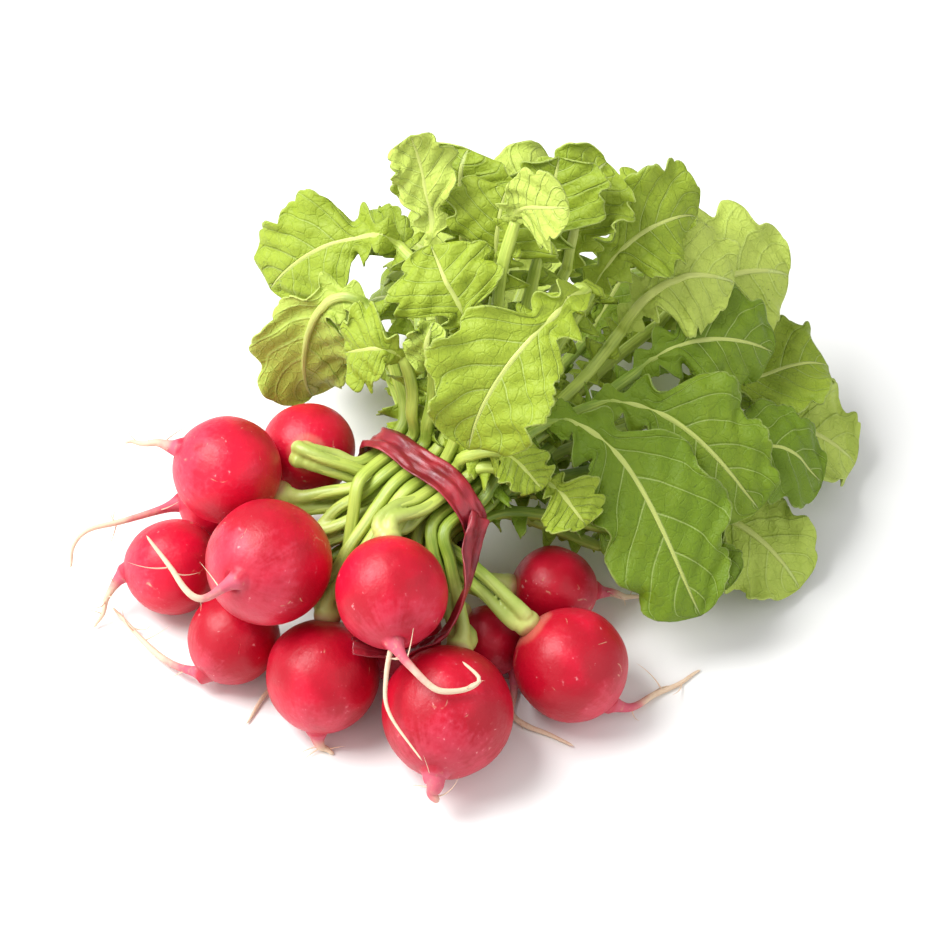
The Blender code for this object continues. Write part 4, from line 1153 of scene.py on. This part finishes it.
# the small leaflets that run along a stalk, between the tie and the blade
def frillObject(path, sides, tone, dice):
    keep = path[:, 0] > tieCentre[0] + frillShape["from"]
    path, sides = path[keep], sides[keep]
    if len(path) < 5:
        return []
    fine = smoothPath(np.hstack([path, sides]), frillShape["rows"])
    length = stepLengths(fine[:, :3]).sum()
    along = np.linspace(0, length, len(fine))[:, None]
    side = np.array([unit(row) for row in fine[:, 3:]])
    face = np.cross(side, tangents(fine[:, :3]))
    v = np.linspace(-1, 1, frillShape["columns"] + 1)[None]
    phase = dice.uniform(0, fullTurn, 4) + 0.9 * np.sign(v)[..., None]
    turn = along * 2 * math.pi / frillShape["pitch"]
    half = 1.0 + frillShape["half"] * np.clip(np.sin(turn + phase[..., 0]), 0, 1)**0.8
    half = half * (0.75 + 0.4 * np.sin(0.37 * turn + phase[..., 1]))
    half = half * (1 + 0.12 * np.sin(7 * turn)) + 0.4
    lift = np.abs(v)**1.5 * (1.3 * np.sin(1.7 * turn + phase[..., 2]) + 0.5) + 0.2
    points = fine[:, None, :3] + side[:, None] * (v * half)[..., None] + face[:, None] * lift[..., None]
    points[..., 2] = np.maximum(points[..., 2], 0.4)
    frill = sheetObject("frill", points)
    painted(frill, leafPaints, 0)
    thickened(frill, frillShape["thick"])
    setEven(frill, "tone", tone)
    return [frill]


crownShape = {"reach": 19.0, "wide": 2.4, "narrow": 1.3, "voxel": 0.42, "knob": (3.7, 3.7, 3.6),
              "ahead": 1.2, "smoothing": 5, "youngLength": 11}


# where the stalks of one plant grow together
def crownObject(name, centre, paths):
    crown, way, side = crownFrame(name, centre)
    bpy.ops.mesh.primitive_uv_sphere_add(segments=24, ring_count=14, radius=1)
    knob = bpy.context.object
    width, depth, height = crownShape["knob"]
    frameOf = np.array([side * width, np.cross(way, side) * depth, way * height])
    places = crown + way * crownShape["ahead"] + corners(knob) @ frameOf + shift
    knob.data.vertices.foreach_set("co", (places * mm).ravel())
    pieces = [knob]
    for path in paths:
        near = path[:max(4, int((reachAlong(path) < crownShape["reach"]).sum()))]
        share = np.linspace(0, 1, len(near))
        radii = crownShape["wide"] + (crownShape["narrow"] - crownShape["wide"]) * share**0.7
        start = tubeObject("start", near, up + 0.01, radii, 12)
        closeUp(start)
        pieces.append(start)
    whole = joined("crown", pieces)
    applied(whole, "REMESH", mode="VOXEL", voxel_size=crownShape["voxel"] * mm)
    applied(whole, "SMOOTH", factor=0.5, iterations=crownShape["smoothing"])
    spots = corners(whole) / mm - shift
    young = np.clip(1.12 - (spots - crown) @ way / crownShape["youngLength"], 0.45, 1.1)
    setValues(whole, "young", young)
    painted(whole, leafPaints, 2)
    return whole


# Tie

ribbonShape = {
    "around": 240, "across": 18, "thick": 0.3, "crumple": 0.75,
    "tailSteps": 140, "tailColumns": 11, "bulge": 1.032, "clear": 0.3,
    "folds": ((1.0, 3, 2.2), (0.8, 5, -3), (0.6, 8, 4), (0.35, 14, -5), (0.2, 30, 6)),
}


# long folds that slant along the ribbon, with finer creases over them
def crumpled(points, dice, longest):
    down, across = points.shape[:2]
    u = np.linspace(0, 1, down)[:, None]
    v = np.linspace(-1, 1, across)[None]
    relief = np.zeros((down, across))
    for share, pitch, slant in ribbonShape["folds"]:
        phase = dice.uniform(0, fullTurn)
        wave = np.sin(pitch * longest * u + slant * v + phase + 0.8 * np.sin(9 * u))
        relief += share * (1 - 2 * np.abs(wave)) / 2
    return points + surfaceNormals(points) * (relief * ribbonShape["crumple"])[..., None]


# moves points out of the bulbs, so that the ribbon lies on them
def offBulbs(points):
    for name, centre in centres.items():
        away = points - centre
        distance = np.linalg.norm(away, axis=2, keepdims=True)
        clear = rootTable[name][0] * ribbonShape["bulge"] + ribbonShape["clear"]
        points = np.where(distance < clear, centre + away / distance * clear, points)
    return points


def ribbonPiece(dice):
    half = tieBand / 2
    turns = np.linspace(0, 2 * math.pi, ribbonShape["around"] + 1)
    across = np.linspace(-half, half, ribbonShape["across"] + 1)
    middle = np.array([tieOval(turn, 0.1) for turn in turns])
    sway = 0.5 * np.sin(3 * turns + 1) + 0.3 * np.sin(7 * turns)
    narrow = 1 - 0.08 * (1 + np.sin(5 * turns + 2)) / 2
    off = across * narrow[:, None] + sway[:, None]
    band = middle[:, None] + np.array([1.0, 0, 0]) * off[..., None]
    crumple = crumpled(band, dice, 2.0)
    blend = smoothStep(np.minimum(turns, 2 * math.pi - turns), 0, 0.15)[:, None, None]
    band = sheetObject("ribbon", band * (1 - blend) + crumple * blend)
    closeUp(band)
    thickened(band, ribbonShape["thick"])
    path = smoothPath(np.hstack([tieTail, tieTailFacing]), ribbonShape["tailSteps"])
    along = tangents(path[:, :3])
    side = np.array([unit(np.cross(t, f)) for t, f in zip(along, path[:, 3:])])
    width = tieTailHalf * (1 - 0.12 * np.sin(np.linspace(0, 17, len(path)))**2)
    columns = np.linspace(-1, 1, ribbonShape["tailColumns"])
    tail = path[:, None, :3] + side[:, None] * (columns[None, :, None] * width[:, None, None])
    tail = sheetObject("ribbonTail", offBulbs(crumpled(tail, dice, 1.2)))
    thickened(tail, ribbonShape["thick"])
    return joined("ribbonTie", [band, tail])


# Building

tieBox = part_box("tie")
shift = np.array([tieBox[1][0] / mm - tieCentre[0] - tieBand / 2,
                  tieBox[1][1] / mm - tieCentre[1] - tieHalfWidth - tieThickness, 0])
dice = np.random.default_rng(11)
centres = settledRoots()
grown = stackedLeaves(centres)
print("layout done")

skinPaints = [skinPaint()]
for name, centre in centres.items():
    pieces, tail, base, way = radishPiece(name, centre, dice)
    pieces += rootletPieces(name, tail, base, way, dice)
    radish = joined(name.replace("_", ""), pieces)
    setEven(radish, "tone", dice.uniform(0, 1))
    finished(radish, name, skinPaints)
print("radishes done")

leafPaints = [leafPaint("leafFace", leafLook["face"], True),
              leafPaint("leafBack", leafLook["back"], False), stalkPaint()]
plants = {name: ([], []) for name in centres}
for number, (owner, rows, bladeFrom, leaf) in enumerate(grown):
    back = number in backUp
    blade, middle, normals = bladeObject(rows[bladeFrom:], leaf, back, dice)
    stalk, path, sides = stalkObject(rows, bladeFrom, middle, normals, back)
    tone = dice.uniform(0.05, 0.4) if number in deepLeaves else dice.uniform(0.55, 1)
    for piece in (blade, stalk):
        setEven(piece, "tone", tone)
    plants[owner][0].extend([blade, stalk] + frillObject(path, sides, tone, dice))
    plants[owner][1].append(path)
print("leaves done")
for name, (pieces, paths) in plants.items():
    crown = crownObject(name, centres[name], paths)
    top = joined(name.replace("radish_", "leafTop"), pieces + [crown])
    finished(top, name.replace("radish", "leaf_top"), leafPaints)
print("crowns done")

finished(ribbonPiece(dice), "tie", [ribbonPaint()])
print("tie done")

# Surroundings

studio = {
    "floor": 4.0, "floorColour": (0.86, 0.86, 0.85), "floorDown": -0.0002, "world": 0.58,
    "turn": -45, "tilt": 50, "lens": 100, "sensor": 36, "zoom": 0.96,
    "framePixels": 950, "pixel": 0.265, "aimPixel": (475, 475), "lower": 12,
    "knownPixel": (447, 710), "knownAcross": 1, "knownBack": 56, "knownHeight": 17.5,
}
# name, distances from the aim towards the camera, up and right, size and power
lights = (
    ("keyLight", 0.45, 0.42, -0.42, 0.45, 8.4),
    ("fillLight", 0.6, 0, 0.6, 0.8, 2),
    ("leftLight", 0.5, -0.15, -0.6, 0.7, 1.3),
)

bpy.ops.mesh.primitive_plane_add(size=studio["floor"], location=(0, 0, studio["floorDown"]))
floor = bpy.context.object
floor.name = "floor"
floorPaint = Paint("paleFloor")
floor.data.materials.append(floorPaint.finish(studio["floorColour"], 0.6))

turn, tilt = math.radians(studio["turn"]), math.radians(studio["tilt"])
back = Vector((math.sin(turn) * math.cos(tilt), -math.cos(turn) * math.cos(tilt), math.sin(tilt)))
rightWay = Vector((math.cos(turn), math.sin(turn), 0))
upWay = back.cross(rightWay)
# the point of the bundle that the photograph's middle shows, from one whose pixel is known
acrossBy = (studio["aimPixel"][0] - studio["knownPixel"][0]) * studio["pixel"] - studio["knownAcross"]
backBy = (studio["knownPixel"][1] - studio["aimPixel"][1]) * studio["pixel"] / math.sin(tilt)
backBy -= studio["knownBack"]
aim = Vector(((backBy + acrossBy) / math.sqrt(2), (backBy - acrossBy) / math.sqrt(2), studio["knownHeight"]))
aim = (aim + Vector(shift)) * mm - upWay * studio["lower"] * studio["pixel"] * mm
frameSize = studio["framePixels"] * studio["pixel"] * mm
distance = frameSize * studio["lens"] / studio["sensor"] / studio["zoom"]
bpy.ops.object.camera_add(location=aim + back * distance, rotation=back.to_track_quat("Z", "Y").to_euler())
camera = bpy.context.object
camera.data.lens = studio["lens"]
camera.data.sensor_width = studio["sensor"]
bpy.context.scene.camera = camera
bpy.context.scene.view_settings.view_transform = "Standard"


def softLight(name, where, size, power):
    bpy.ops.object.light_add(type="AREA", location=where)
    light = bpy.context.object
    light.name = name
    light.data.size = size
    light.data.energy = power
    light.rotation_euler = (Vector(where) - aim).to_track_quat("Z", "Y").to_euler()


for name, near, high, right, size, power in lights:
    softLight(name, aim + back * near + upWay * high + rightWay * right, size, power)
world = bpy.data.worlds.new("studio")
bpy.context.scene.world = world
world.use_nodes = True
world.node_tree.nodes["Background"].inputs[0].default_value = (1, 1, 1, 1)
world.node_tree.nodes["Background"].inputs[1].default_value = studio["world"]
bpy.ops.object.select_all(action="DESELECT")
